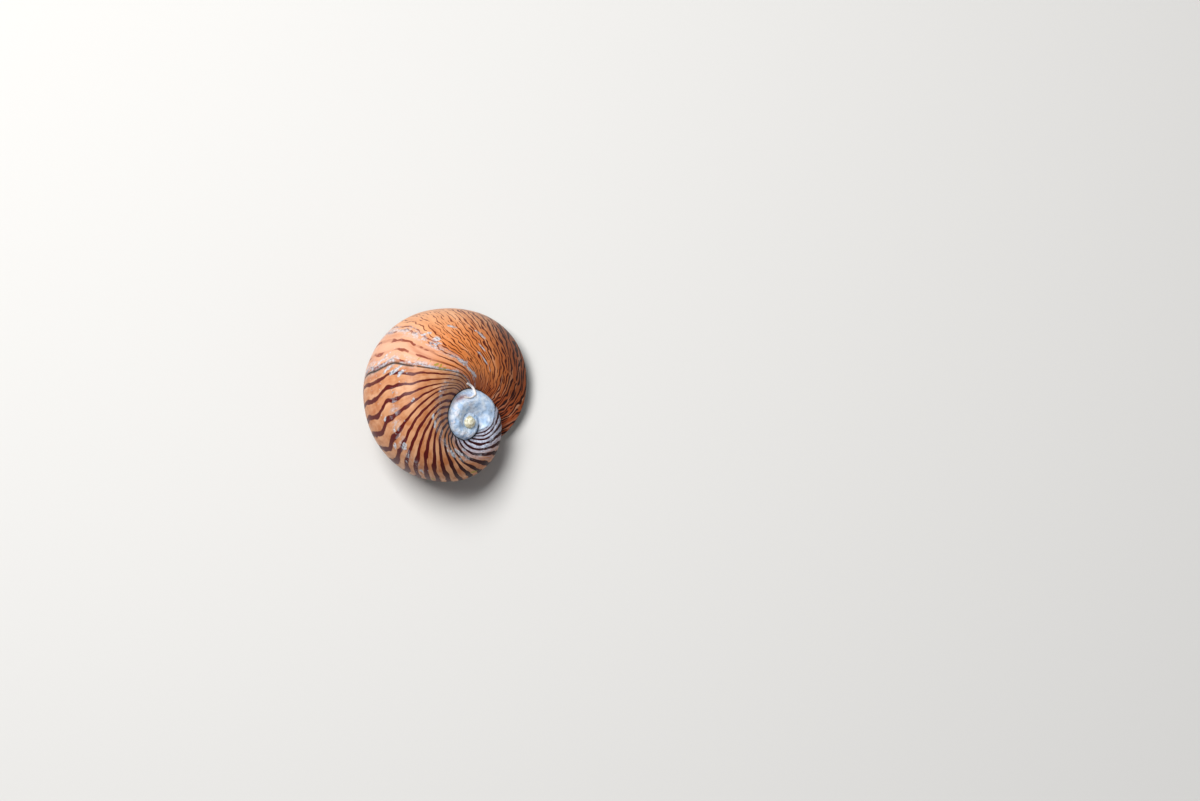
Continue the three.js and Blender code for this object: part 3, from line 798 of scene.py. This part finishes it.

# %% Wear: the bleached spire and algae, and painted shade on the seam
bleach = (turn + (ragged - 0.5) * 70 + place.step(180, 120) * -50).step(-258, -330)
bleached = flow.layers((128, 133, 150), (grain.step(0.3, 0.7), (198, 204, 222)))
spire = (turn + (ragged - 0.5) * 20).step(-351, -363)
cloud = spot.noise(0.0009, 3)
pits = spot.noise(0.0005, 3).step(0.42, 0.30)
crust = spot.noise(0.0008, 3, 0.6).step(0.53, 0.62) * turn.step(-420, -470)
rust = turn.hump(-430, 26) * place.hump(212, 40) * ragged.step(0.10, 0.40)
lime = flow.layers(
    (178, 204, 234),
    (cloud.step(0.40, 0.62), (224, 236, 250)),
    (pits * 0.40, (136, 152, 174)),
    (crust * 0.8, (230, 230, 238)),
    (rust * 0.85, (128, 76, 58)),
)
algae = (flow.attribute("algae") * 0.45 + grain * 0.55).step(0.54, 0.66)
# Painted shade: a dark line along the suture, in the crease where one whorl meets the next.
seam = flow.attribute("seam").step(0.34, 0.08)
pattern = flow.layers(
    striped,
    (chalk * 0.76, powder),
    (crack * 0.95, (16, 7, 7)),
    (bleach * (1 - band) * 0.92, bleached),
    (spire, lime),
    (algae * 0.75, (150, 140, 30)),
    (seam * 0.9, (22, 12, 12)),
)
print("nodes with spire, algae and seam:", len(shell_paint.node_tree.nodes))

# %% Height and gloss of the shell
ridges = line.grown(1.1, 0.05, 0, 3, 0.55)
height = ridges * (0.30 - spire * 0.24) + grain * (chalk + spire * 1.2 + 0.10)
height = height + (cloud * 1.1 + crust * 0.7) * spire
height = height - band * (bleach * 1.2 + 0.04) * (1 - spire)
worn = (chalk + spire + bleach * 0.5).math("MINIMUM", 1)
coat(shell_paint, shell, Base_Color=pattern, Normal=height.bump(0.5, 0.00014),
     Roughness=0.38 + worn * 0.30 + (grain - 0.5) * 0.14, Coat_Weight=0.05 - worn * 0.04)
print("nodes in the shell's finish:", len(shell_paint.node_tree.nodes))

# %% The enamel underneath
enamel_paint, flow, spot = finish("enamel_paint", Coat_Weight=0.5, Coat_Roughness=0.08)
inward = flow.attribute("inward")
stain = inward.hump(0.72, 0.5) * spot.noise(0.0035).step(0.48, 0.62)
through = stripes(flow, spot) * inward.step(0.42, 0.02)
enamel = flow.layers(
    (232, 222, 204),
    (spot.noise(0.0022, 3).step(0.35, 0.7), (214, 190, 158)),
    (stain * 0.55, (206, 128, 62)),
    # Painted shade: darker the deeper it lies inside the hollow.
    (inward.step(1, 1.7), (128, 104, 96)),
    (through * 0.9, (64, 26, 20)),
)
layers = inward.grown(9, 0.03, 0, 2)
grain = spot.noise(0.0004, 3)
coat(enamel_paint, shell, Base_Color=enamel, Roughness=0.22 + grain * 0.16,
     Normal=(layers * 0.6 + grain * 0.25).bump(0.3, 0.0001))
print("materials on the shell:", len(shell.data.materials))

# %% [markdown]
# ## Camera
# The photograph looks down on the shell from behind and above, with the head end at the top of
# the frame, and the whole view is rolled because the animal sat on a slope. The camera keeps that
# line of sight. It is aimed so that the shell stands left of the middle, as in the photograph.

# %% Camera
AZIMUTH, ELEVATION, ROLL = map(math.radians, (200.93, 79.66, -19.33))
LENS, SENSOR, PICTURE = 100.0, 36.0, np.array([1200, 801])
PIXELS_PER_MM = 7.694
APEX_AT, AIM_AT = np.array([469.1, 423.6]), np.array([445.0, 391.0])
SHIFT_UP = 1.5
NEAR_CLIP, FAR_CLIP = 0.005, 20.0

back = np.array([math.sin(AZIMUTH) * math.cos(ELEVATION), -math.cos(AZIMUTH) * math.cos(ELEVATION),
                 math.sin(ELEVATION)])
level = np.array([math.cos(AZIMUTH), math.sin(AZIMUTH), 0.0])
above = np.cross(back, level)
right = math.cos(ROLL) * level + math.sin(ROLL) * above
above = np.cross(back, right)
focal = LENS / SENSOR * PICTURE[0]
off_apex = (AIM_AT - APEX_AT) / PIXELS_PER_MM
aim = APEX + right * off_apex[0] - above * off_apex[1]
distance = focal / PIXELS_PER_MM
off_middle = (AIM_AT - PICTURE / 2) * [1, -1] + [0, SHIFT_UP]
axes = Matrix((TILT @ np.column_stack([right, above, back])).tolist())
sight = Vector((*off_middle, -focal)).normalized()
turn_to = (axes @ sight).rotation_difference(Vector(TILT @ -back))
camera_data = bpy.data.cameras.new("camera")
camera_data.lens, camera_data.sensor_width = LENS, SENSOR
camera_data.clip_start, camera_data.clip_end = NEAR_CLIP, FAR_CLIP
camera = bpy.data.objects.new("camera", camera_data)
camera.matrix_world = (Matrix.Translation(stand(aim + back * distance).tolist())
                       @ (turn_to.to_matrix() @ axes).to_4x4())
bpy.context.scene.collection.objects.link(camera)
bpy.context.scene.camera = camera
print("camera distance, mm:", round(distance, 1))

# %% [markdown]
# ## Soft body
# The living animal is one soft body: a broad flat foot, a short snout with two feelers, and the
# mantle that lines the shell's mouth. Each part is built as a simple closed form, a stack of
# rings, and then all of them are resampled on a fine grid of cells. That melts them into one skin
# with rounded joints, which separate meshes or boolean cuts wouldn't give.

# %% Closed forms and one skin over them
def loft(rings):
    """Points and faces of a closed form: faces between rings, and a fan at both ends. Where the
    triple products of its triangles sum to a negative volume, the faces are turned round."""
    rings = np.stack(rings)
    count = rings.shape[1]
    ids = np.arange(rings.shape[0] * count).reshape(-1, count)
    ids = np.column_stack([ids, ids[:, 0]])
    points = np.vstack([rings.reshape(-1, 3), rings[0].mean(0), rings[-1].mean(0)])
    low, high = np.full(count, len(points) - 2), np.full(count, len(points) - 1)
    walls = quads(ids)
    caps = np.vstack([np.column_stack([ids[0, :-1], ids[0, 1:], low]),
                      np.column_stack([ids[-1, 1:], ids[-1, :-1], high])])
    a, b, c = np.moveaxis(points[np.vstack([walls[:, :3], walls[:, [0, 2, 3]], caps])], 1, 0)
    turn_round = np.einsum("ij,ij->", a, np.cross(b, c)) < 0
    return points, [face[::-1] if turn_round else face for face in walls.tolist() + caps.tolist()]


def fuse(forms, cell, rounds):
    """One closed skin over closed forms that overlap, resampled on cells of a size and smoothed a
    few rounds: its points, faces and normals."""
    starts = np.cumsum([0] + [len(points) for points, _ in forms])
    made = mesh_piece("forms", np.vstack([points for points, _ in forms]),
                      [[v + start for v in face] for start, (_, faces) in zip(starts, forms)
                       for face in faces])
    cells = made.modifiers.new("cells", "REMESH")
    cells.mode, cells.voxel_size = "VOXEL", cell
    melt = made.modifiers.new("melt", "SMOOTH")
    melt.factor, melt.iterations = 0.5, rounds
    skin = made.evaluated_get(bpy.context.evaluated_depsgraph_get()).to_mesh()
    points, normals = np.zeros(len(skin.vertices) * 3), np.zeros(len(skin.vertices) * 3)
    skin.vertices.foreach_get("co", points)
    skin.vertices.foreach_get("normal", normals)
    faces = [list(face.vertices) for face in skin.polygons]
    made.to_mesh_clear()
    bpy.data.meshes.remove(made.data)
    return points.reshape(-1, 3), faces, normals.reshape(-1, 3)


def tube(middles, radii, sides=20):
    """Rings of points round a path. The ring's own axes are carried along the path, so that it
    doesn't twist."""
    along = np.gradient(middles, axis=0)
    along /= np.linalg.norm(along, axis=1, keepdims=True)
    side = np.cross(along[0], [0.3, 0.2, 1.0])
    angles = np.linspace(0, 2 * math.pi, sides, endpoint=False)
    rings = []
    for middle, ahead, radius in zip(middles, along, radii):
        side = side - ahead * (side @ ahead)
        side /= np.linalg.norm(side)
        up = np.cross(ahead, side)
        circle = np.outer(np.cos(angles), side) + np.outer(np.sin(angles), up)
        rings.append(middle + radius * circle)
    return rings


def through_points(knots, count):
    """A smooth path through a few points: each coordinate is a cubic between its neighbours."""
    knots = np.asarray(knots, float)
    ends = np.vstack([2 * knots[0] - knots[1], knots, 2 * knots[-1] - knots[-2]])
    t = np.linspace(0, len(knots) - 1.000001, count)
    k, u = t.astype(int), (t % 1)[:, None]
    a, b, c, d = (ends[k + step] for step in range(4))
    return 0.5 * (2 * b + (c - a) * u + (2 * a - 5 * b + 4 * c - d) * u ** 2
                  + (3 * (b - c) + d - a) * u ** 3)


# %% The foot, the neck and the mantle
GAP = 0.3
SOLE_INSET = 2.7
FOOT_RINGS = ((0.75, 0, 0), (0.45, 0, 0), (0.12, 0, 0.12), (0, 0, 0.45), (0.02, 0.5, 0.2),
              (0, 1, -0.45), (0.13, 1, -0.13), (0.45, 1, 0), (2.0, 1, 0))
NECK_RINGS = ((4.4, -0.8), (4.6, -0.2), (4.8, 0.5), (4.2, 1.2))
MANTLE_RINGS = ((0, 0.92), (0.06, 0.985), (0.3, 1), (0.6, 1), (0.9, 1), (0.97, 0.99), (1, 0.955))
NECK_BACK, MANTLE_INSET, MANTLE_CLEARANCE = 5.6, 1.2, 1.6
MANTLE_TURNS = (-30.0, -4.0)


def lip_ring(inset, count=160, start=0.0, stop=2 * math.pi):
    """The lip outline moved inwards at right angles to itself."""
    angle = np.linspace(start, stop, count, endpoint=False)
    return lip(angle) + inset * inwards(angle)


def lip_plane(y):
    """Height of the lip plane over the floor."""
    return LIFT - math.tan(PITCH) * y


def foot_form():
    """A pad with a flat sole: rings of an inset, a share of the way up to the lip plane and a
    rise, the outer ones frilled by two sines of the angle."""
    angle = np.linspace(0, 2 * math.pi, 160, endpoint=False)
    frill = 0.05 * np.sin(23 * angle) + 0.04 * np.sin(37 * angle + 1.3)
    rings = []
    for inset, share, rise in FOOT_RINGS:
        ring = lip_ring(SOLE_INSET + inset)
        soft = np.clip(1 - inset / 0.6, 0, 1)
        ring[:, :2] *= (1 + 0.24 * frill * soft)[:, None]
        ring[:, 2] = share * (lip_plane(ring[:, 1]) - GAP) + rise
        rings.append(ring)
    return loft(rings)


def neck_form():
    """The short column from the foot to the mantle: rings of an inset and a rise over the lip
    plane, pushed forward off the deck."""
    rings = []
    for inset, rise in NECK_RINGS:
        ring = lip_ring(inset)
        behind = np.maximum(NECK_BACK - ahead_of_axis(ring), 0)
        ring += behind[:, None] * np.array([0.1, -1.0, 0]) * 0.9
        ring[:, 2] = lip_plane(ring[:, 1]) + rise
        rings.append(ring)
    return loft(rings)


def mantle_form():
    """The body in the shell's mouth: the lip outline, cut off before the deck and carried back
    along the coil, in rings of a share of the way and a size."""
    ring = lip_ring(MANTLE_INSET, 200)
    short = np.maximum(DECK_EDGE + MANTLE_CLEARANCE - ahead_of_axis(ring), 0)
    ring += short[:, None] * np.array([math.sin(AXIS_BEARING) * 0.23, -1.0, 0]) * 1.02
    middle = ring.mean(0)
    rings = []
    for share, size in MANTLE_RINGS:
        turn = MANTLE_TURNS[0] + share * (MANTLE_TURNS[1] - MANTLE_TURNS[0])
        placed = carry(middle + (ring - middle) * size, np.full(len(ring), turn))
        rings.append(placed @ TILT.T + [0, 0, LIFT])
    return loft(rings)


# %% The head and the feelers
HEAD = {"width": 7.2, "length": 5.2, "height": 1.55, "base": 0.95, "reach": 0.2}
HEAD_PROFILE = {0.0: 0.45, 0.08: 0.72, 0.25: 0.88, 0.45: 1.0, 0.75: 0.95, 1.0: 0.85}
EYE_RADIUS, EYE_BULGE, EYE_ALONG = 0.34, 0.6, 0.64
FEELER_START, FEELER_SPAN, FEELER_INSET, FEELER_DROP = {1: 0.43, -1: 0.33}, 0.72, 1.35, 0.5
FEELER_BASE, FEELER_TIP = 0.42, 0.2
FRONT = lip(np.array([1.5 * math.pi]))[0, 1] + HEAD["reach"]


def head_form():
    """A short broad snout: superellipses with a profile of sizes, and two lobes in front."""
    angle = np.linspace(0, 2 * math.pi, 64, endpoint=False)
    upright = np.sign(np.sin(angle)) * np.abs(np.sin(angle)) ** 0.8
    rings = []
    for share in np.linspace(0, 1, 25):
        size = np.interp(share, list(HEAD_PROFILE), list(HEAD_PROFILE.values()))
        size *= 0.55 + 0.45 * math.sqrt(min(share / 0.05, 1))
        x = size * HEAD["width"] / 2 * np.cos(angle)
        z = upright * math.sqrt(size) * HEAD["height"] / 2
        lobes = 0.20 * np.exp(-(share / 0.22) ** 2) * np.exp(-(x / 0.55) ** 2)
        y = FRONT + share * HEAD["length"] + lobes
        rings.append(np.stack([x, y, HEAD["base"] + HEAD["height"] / 2 + z], -1))
    return loft(rings)


def eye_place(side, outwards):
    """Middle of the eye bulge on a side of the head, or of a ball standing out from it."""
    return np.array([side * (HEAD["width"] / 2 + outwards), FRONT + EYE_ALONG * HEAD["length"],
                     HEAD["base"] + HEAD["height"] / 2])


def feeler_form(side):
    """A slender feeler from the side of the head, lying back along the inside of the lip."""
    knots = [[side * 1.9, FRONT + 2.2, HEAD["base"] + 0.75]]
    for share in np.linspace(0, 1, 5):
        angle = 1.5 * math.pi + side * (FEELER_START[side] + FEELER_SPAN * share)
        point = lip_ring(FEELER_INSET, 1, angle, angle + 1)[0]
        point[2] = lip_plane(point[1]) - GAP - FEELER_DROP
        knots.append(point)
    share = np.linspace(0, 1, 60)
    thin = np.clip((share - 0.17) / 0.83, 0, 1)
    radii = (FEELER_BASE + (FEELER_TIP - FEELER_BASE) * thin) * (1 + 0.04 * np.sin(share * 95))
    radii *= np.sqrt(1 - np.clip((share - 0.955) / 0.05, 0, 1) ** 2 * 0.95)
    return loft(tube(through_points(knots, 60), radii))


# %% One skin for the soft body
CELL, SMOOTHING = 0.13, 5
WRINKLE_DEPTH, SLIT_DEPTH, EYE_ROOM = 0.045, 0.16, 0.04
forms = [foot_form(), neck_form(), mantle_form(), head_form(), feeler_form(1), feeler_form(-1)]
span = np.linspace(-1, 1, 17)
for side in (1, -1):
    axis = eye_place(side, 0) + np.outer(span * EYE_BULGE, [side, 0, 0])
    forms.append(loft(tube(axis, EYE_BULGE * np.sqrt(1.0001 - span ** 2), 32)))
flesh_points, flesh_faces, flesh_normals = fuse(forms, CELL, SMOOTHING)

wrinkle = noise(flesh_points, 0.42, 11) + 0.5 * noise(flesh_points, 0.2, 12) - 0.75
near_mouth = np.exp(-((flesh_points[:, 0] / 1.05) ** 6)) * (flesh_points[:, 1] < FRONT + 0.7)
slit = near_mouth * np.exp(-((flesh_points[:, 2] - HEAD["base"] - 0.48) / 0.13) ** 2)
off_sole = 1 - smooth(1 - flesh_points[:, 2] / 0.35)
carved = WRINKLE_DEPTH * wrinkle * off_sole - SLIT_DEPTH * slit
flesh_points += flesh_normals * carved[:, None]
for side in (1, -1):
    arm = flesh_points - eye_place(side, EYE_RADIUS)
    reach = np.linalg.norm(arm, axis=1, keepdims=True)
    push = np.maximum((EYE_RADIUS + EYE_ROOM) / np.maximum(reach, 1e-6) - 1, 0)
    flesh_points = flesh_points + arm * push
flesh_points[:, 2] = np.where(flesh_points[:, 2] < 0.05, 0.0, flesh_points[:, 2])
soft_body = mesh_piece("soft_body", (flesh_points + CENTRE) * MM, flesh_faces)
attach(soft_body, "root")
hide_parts("foot", "head", "mantle", "tentacle_left", "tentacle_right")
print("soft body: faces", len(flesh_faces), "box, mm:",
      np.round([flesh_points.min(0), flesh_points.max(0)], 2).tolist())

# %% Skin of the soft body
flesh_paint, flow, spot = finish("flesh_paint", Coat_Weight=0.6, Coat_Roughness=0.1,
                                 Subsurface_Weight=0.12, Subsurface_Scale=0.0004)
over_floor = flow.node("ShaderNodeSeparateXYZ", {}, {0: spot}, output=2)
drawn_out = flow.node("ShaderNodeMapping", {}, {"Vector": spot, "Scale": (1, 0.30, 1)})
dashes = drawn_out.noise(0.00022).step(0.56, 0.66)
dots = spot.spots(0.00042).step(0.24, 0.12)
flesh = flow.layers(
    (108, 100, 96),
    (spot.noise(0.0016, 3).step(0.3, 0.7), (74, 68, 70)),
    (dashes * 0.75, (30, 27, 30)),
    (dots * 0.35, (172, 160, 138)),
    (over_floor.step(0.00045, 0.00005), (188, 172, 148)),
)
folds = spot.noise(0.0005, 4, 0.6)
coat(flesh_paint, soft_body, Base_Color=flesh, Roughness=0.30 + folds * 0.3,
     Normal=(folds + dots * 0.4).bump(0.6, 0.00012))
print("nodes in the skin's finish:", len(flesh_paint.node_tree.nodes))

# %% [markdown]
# ## The first whorl and a worm tube
# The shell that the snail hatched with is still there as a smooth cream knob on the tip. A spiral
# tube would leave gaps between its turns, so the knob is one dome, whose radius sinks along a
# spiral groove. Across the edge of the spire lies the thin white tube of a worm that once lived
# there. Its course is given by a few points of the photograph, and each is looked up on the shell
# along the line of sight.

# %% The knob on the tip
GROOVE_START, GROOVE_HALF, SWELL = 0.4, 0.10, 0.10


def dome(radius, height, reach, spread):
    """Rings of points over a dome on the axis of the coil, and how close each is to a spiral
    groove. The groove runs outwards one spread of angle for each turn, and the dome swells by a
    power of a sine between."""
    side_one = np.cross(AXIS, [0, 0, 1.0])
    side_one /= np.linalg.norm(side_one)
    side_two = np.cross(AXIS, side_one)
    down = np.linspace(0.02, reach, 80)[:, None]
    round_it = np.linspace(0, 2 * math.pi, 97)[None, :-1]
    turned = (down / spread - round_it / (2 * math.pi) + GROOVE_START) % 1
    begun = smooth(down / 0.5)
    swell = 1 + (np.sin(math.pi * turned) ** 0.6 - 0.6) * SWELL * begun
    out, up = radius * swell * np.sin(down), height * swell * np.cos(down)
    parts = ((out * np.cos(round_it), side_one), (-out * np.sin(round_it), side_two), (up, AXIS))
    crease = smooth(1 - np.minimum(turned, 1 - turned) / GROOVE_HALF) * begun
    return APEX + sum(part[..., None] * way for part, way in parts), crease


rings, crease = dome(radius=0.80, height=0.66, reach=2.3, spread=1.05)
points, faces = loft(rings)
crease = np.append(crease.ravel(), [0, 0])
knob = mesh_piece("first_whorl", stand(points), faces, {"crease": crease[np.concatenate(faces)]})
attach(knob, "root")
knob_paint, flow, spot = finish("knob_paint", Coat_Weight=0.15, Coat_Roughness=0.2)
grain, green = spot.noise(0.00012, 3), spot.noise(0.0003).step(0.62, 0.7)
cream = flow.layers(
    (240, 236, 214),
    (spot.noise(0.00045, 3).step(0.38, 0.62), (206, 196, 160)),
    # Painted shade in the spiral groove.
    (flow.attribute("crease") * 0.4, (124, 116, 100)),
    (green * 0.5, (140, 160, 150)),
)
coat(knob_paint, knob, Base_Color=cream, Roughness=0.38 + grain * 0.25,
     Normal=grain.bump(0.4, 0.00005))
print("first whorl: faces", len(faces))

# %% The worm tube
THREAD = [(464.0, 397.4), (467.9, 398.1), (471.7, 398.2), (474.9, 397.4), (476.9, 395.2),
          (476.4, 393.4), (474.7, 390.7), (472.9, 387.9), (470.5, 386.1), (467.7, 385.1)]
NEARBY_PIXELS, STANDS_OUT = 1.2, 0.10
THREAD_POINTS, THREAD_RADIUS, THREAD_GROWTH = 90, 0.10, 0.06

arms = (shell_points - APEX) @ np.column_stack([right, -above, back])
on_picture = arms[:, :2] * PIXELS_PER_MM + APEX_AT
knots = []
for seen in THREAD:
    close = np.flatnonzero(np.linalg.norm(on_picture - seen, axis=1) < NEARBY_PIXELS)
    knots.append(shell_points[close[arms[close, 2].argmax()]] + back * STANDS_OUT)
knots = np.array(knots)
for _ in range(2):
    knots[1:-1] = np.maximum(knots[1:-1], (knots[:-2] + 2 * knots[1:-1] + knots[2:]) / 4)
middles = through_points(knots, THREAD_POINTS)
share = np.linspace(0, 1, THREAD_POINTS)
thick = THREAD_RADIUS + THREAD_GROWTH * smooth((share - 0.35) / 0.4) + 0.008 * np.sin(share * 120)
thick = thick * np.sqrt(1 - (2 * share - 1) ** 60 * 0.9)
points, faces = loft(tube(middles, thick, 16))
worm_tube = mesh_piece("worm_tube", stand(points), faces)
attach(worm_tube, "root")
tube_paint, flow, spot = finish("tube_paint")
clouds, grain = spot.noise(0.0006).step(0.35, 0.65), spot.noise(0.00010, 3)
coat(tube_paint, worm_tube, Base_Color=flow.layers((238, 232, 230), (clouds, (206, 196, 186))),
     Roughness=0.5 + grain * 0.25, Normal=grain.bump(0.5, 0.00005))
print("worm tube, mm:", round(float(np.linalg.norm(np.diff(middles, axis=0), axis=1).sum()), 2))

# %% [markdown]
# ## Eyes and operculum
# Nerites carry an eye on a short bulge beside each feeler: a glossy black ball. The operculum is
# the half-moon trapdoor that lies on the rear of the foot while the animal crawls. It is laid down
# in arcs about one corner, and its finish follows these arcs. Both are hard, so they stay pieces
# of their own, made finer than the solid model's.

# %% Eyes
eye_paint, flow, spot = finish("eye_paint", Coat_Weight=1.0, Coat_Roughness=0.03)
shade = spot.noise(0.00025)
coat(eye_paint, Base_Color=flow.layers((10, 10, 13), (shade.step(0.35, 0.7), (34, 32, 40))),
     Roughness=0.08 + shade * 0.12)
slant = np.linspace(-math.pi / 2, math.pi / 2, 33)
for name, side in (("left", 1), ("right", -1)):
    across = np.outer(np.sin(slant) * EYE_RADIUS, [side, 0, 0])
    points, faces = loft(tube(across, EYE_RADIUS * np.cos(slant) + 1e-4, 40))
    points = points + eye_place(side, EYE_RADIUS)
    eye_ball = mesh_piece(f"eye_ball_{name}", (points + CENTRE) * MM, faces)
    eye_ball.data.materials.append(eye_paint)
    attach(eye_ball, "root")
    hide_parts(f"eye_{name}")
print("eyes: faces on each", len(faces))

# %% Operculum
OPERCULUM = {"inset": 2.2, "thickness": 0.5, "front": 2.4}
PLATE_RINGS = ((0.05, 0), (0.5, 0), (0.9, 0), (0.975, 0.03), (1, 0.12), (1, 0.38), (0.975, 0.47),
               (0.9, 0.5), (0.7, 0.5), (0.5, 0.5), (0.3, 0.5), (0.05, 0.5))
edge_ring = lip_ring(OPERCULUM["inset"], 400)
edge_ring = edge_ring[ahead_of_axis(edge_ring) < OPERCULUM["front"]]
start = int(np.argmax(np.linalg.norm(edge_ring - np.roll(edge_ring, 1, 0), axis=1)))
edge_ring = np.roll(edge_ring, -start, 0)
chord = np.linspace(edge_ring[-1], edge_ring[0], 60)[1:-1]
edge_ring = np.vstack([edge_ring, chord])
for _ in range(10):
    edge_ring = (np.roll(edge_ring, 1, 0) + 2 * edge_ring + np.roll(edge_ring, -1, 0)) / 4
half_moon = edge_ring.mean(0)
plate = []
for share, rise in PLATE_RINGS:
    ring = half_moon + (edge_ring - half_moon) * share
    ring[:, 2] = lip_plane(ring[:, 1]) - GAP - OPERCULUM["thickness"] + rise
    plate.append(ring)
points, faces = loft(plate)
trapdoor = mesh_piece("trapdoor", (points + CENTRE) * MM, faces)
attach(trapdoor, "root")
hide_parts("operculum")

horn_paint, flow, spot = finish("horn_paint", Coat_Weight=0.3, Coat_Roughness=0.15)
corner_place = (edge_ring[np.argmin(edge_ring[:, 0])] + CENTRE) * MM
from_corner = flow.node("ShaderNodeVectorMath", {"operation": "DISTANCE"},
                        {0: spot, 1: tuple(corner_place)}, output="Value")
grain = spot.noise(0.0005, 3)
arcs = (from_corner * 14000 + grain * 2).math("SINE")
horn = flow.layers(
    (196, 172, 146),
    (grain.step(0.3, 0.7), (160, 128, 104)),
    (arcs.step(0.2, 1) * 0.5, (104, 66, 52)),
)
coat(horn_paint, trapdoor, Base_Color=horn, Roughness=0.35 + grain * 0.2,
     Normal=(arcs * 0.5 + grain * 0.5).bump(0.4, 0.00008))
print("operculum points:", len(points))

# %% [markdown]
# ## Floor and light
# A plain pale floor runs far beyond the frame. One wide soft lamp stands high at the front left,
# where the photograph's broad sheen comes from, and a weaker one fills the other side.

# %% Floor, lamps and world
FLOOR_HALF = 2
FLOOR_COLOUR, WORLD_COLOUR, WORLD_STRENGTH = (0.62, 0.61, 0.59, 1), (0.93, 0.95, 1.0, 1), 0.16
corners = [(x * FLOOR_HALF, y * FLOOR_HALF, 0) for x, y in ((-1, -1), (1, -1), (1, 1), (-1, 1))]
floor = mesh_piece("floor", corners, [[0, 1, 2, 3]])
floor_paint, _, _ = finish("floor_paint", Base_Color=FLOOR_COLOUR, Roughness=0.9)
coat(floor_paint, floor)


def soft_lamp(name, place, width, power, color=(1, 1, 1)):
    """A square area lamp at a place, facing the middle of the model."""
    data = bpy.data.lights.new(name, "AREA")
    data.size, data.energy, data.color = width, power, color
    lamp = bpy.data.objects.new(name, data)
    lamp.location = place
    to_model = Vector((0, 0, 0.005)) - lamp.location
    lamp.rotation_euler = to_model.to_track_quat("-Z", "Y").to_euler()
    bpy.context.scene.collection.objects.link(lamp)


soft_lamp("key", (0.14, -0.12, 0.37), 0.24, 2.5)
soft_lamp("fill", (-0.28, 0.20, 0.22), 0.30, 0.20, (0.93, 0.96, 1.0))
world = bpy.data.worlds.new("studio")
bpy.context.scene.world = world
world.use_nodes = True
background = world.node_tree.nodes["Background"].inputs
background["Color"].default_value = WORLD_COLOUR
background["Strength"].default_value = WORLD_STRENGTH
bpy.context.scene.view_settings.view_transform = "Standard"
print("lamps and world:", len(bpy.data.lights), world.name)
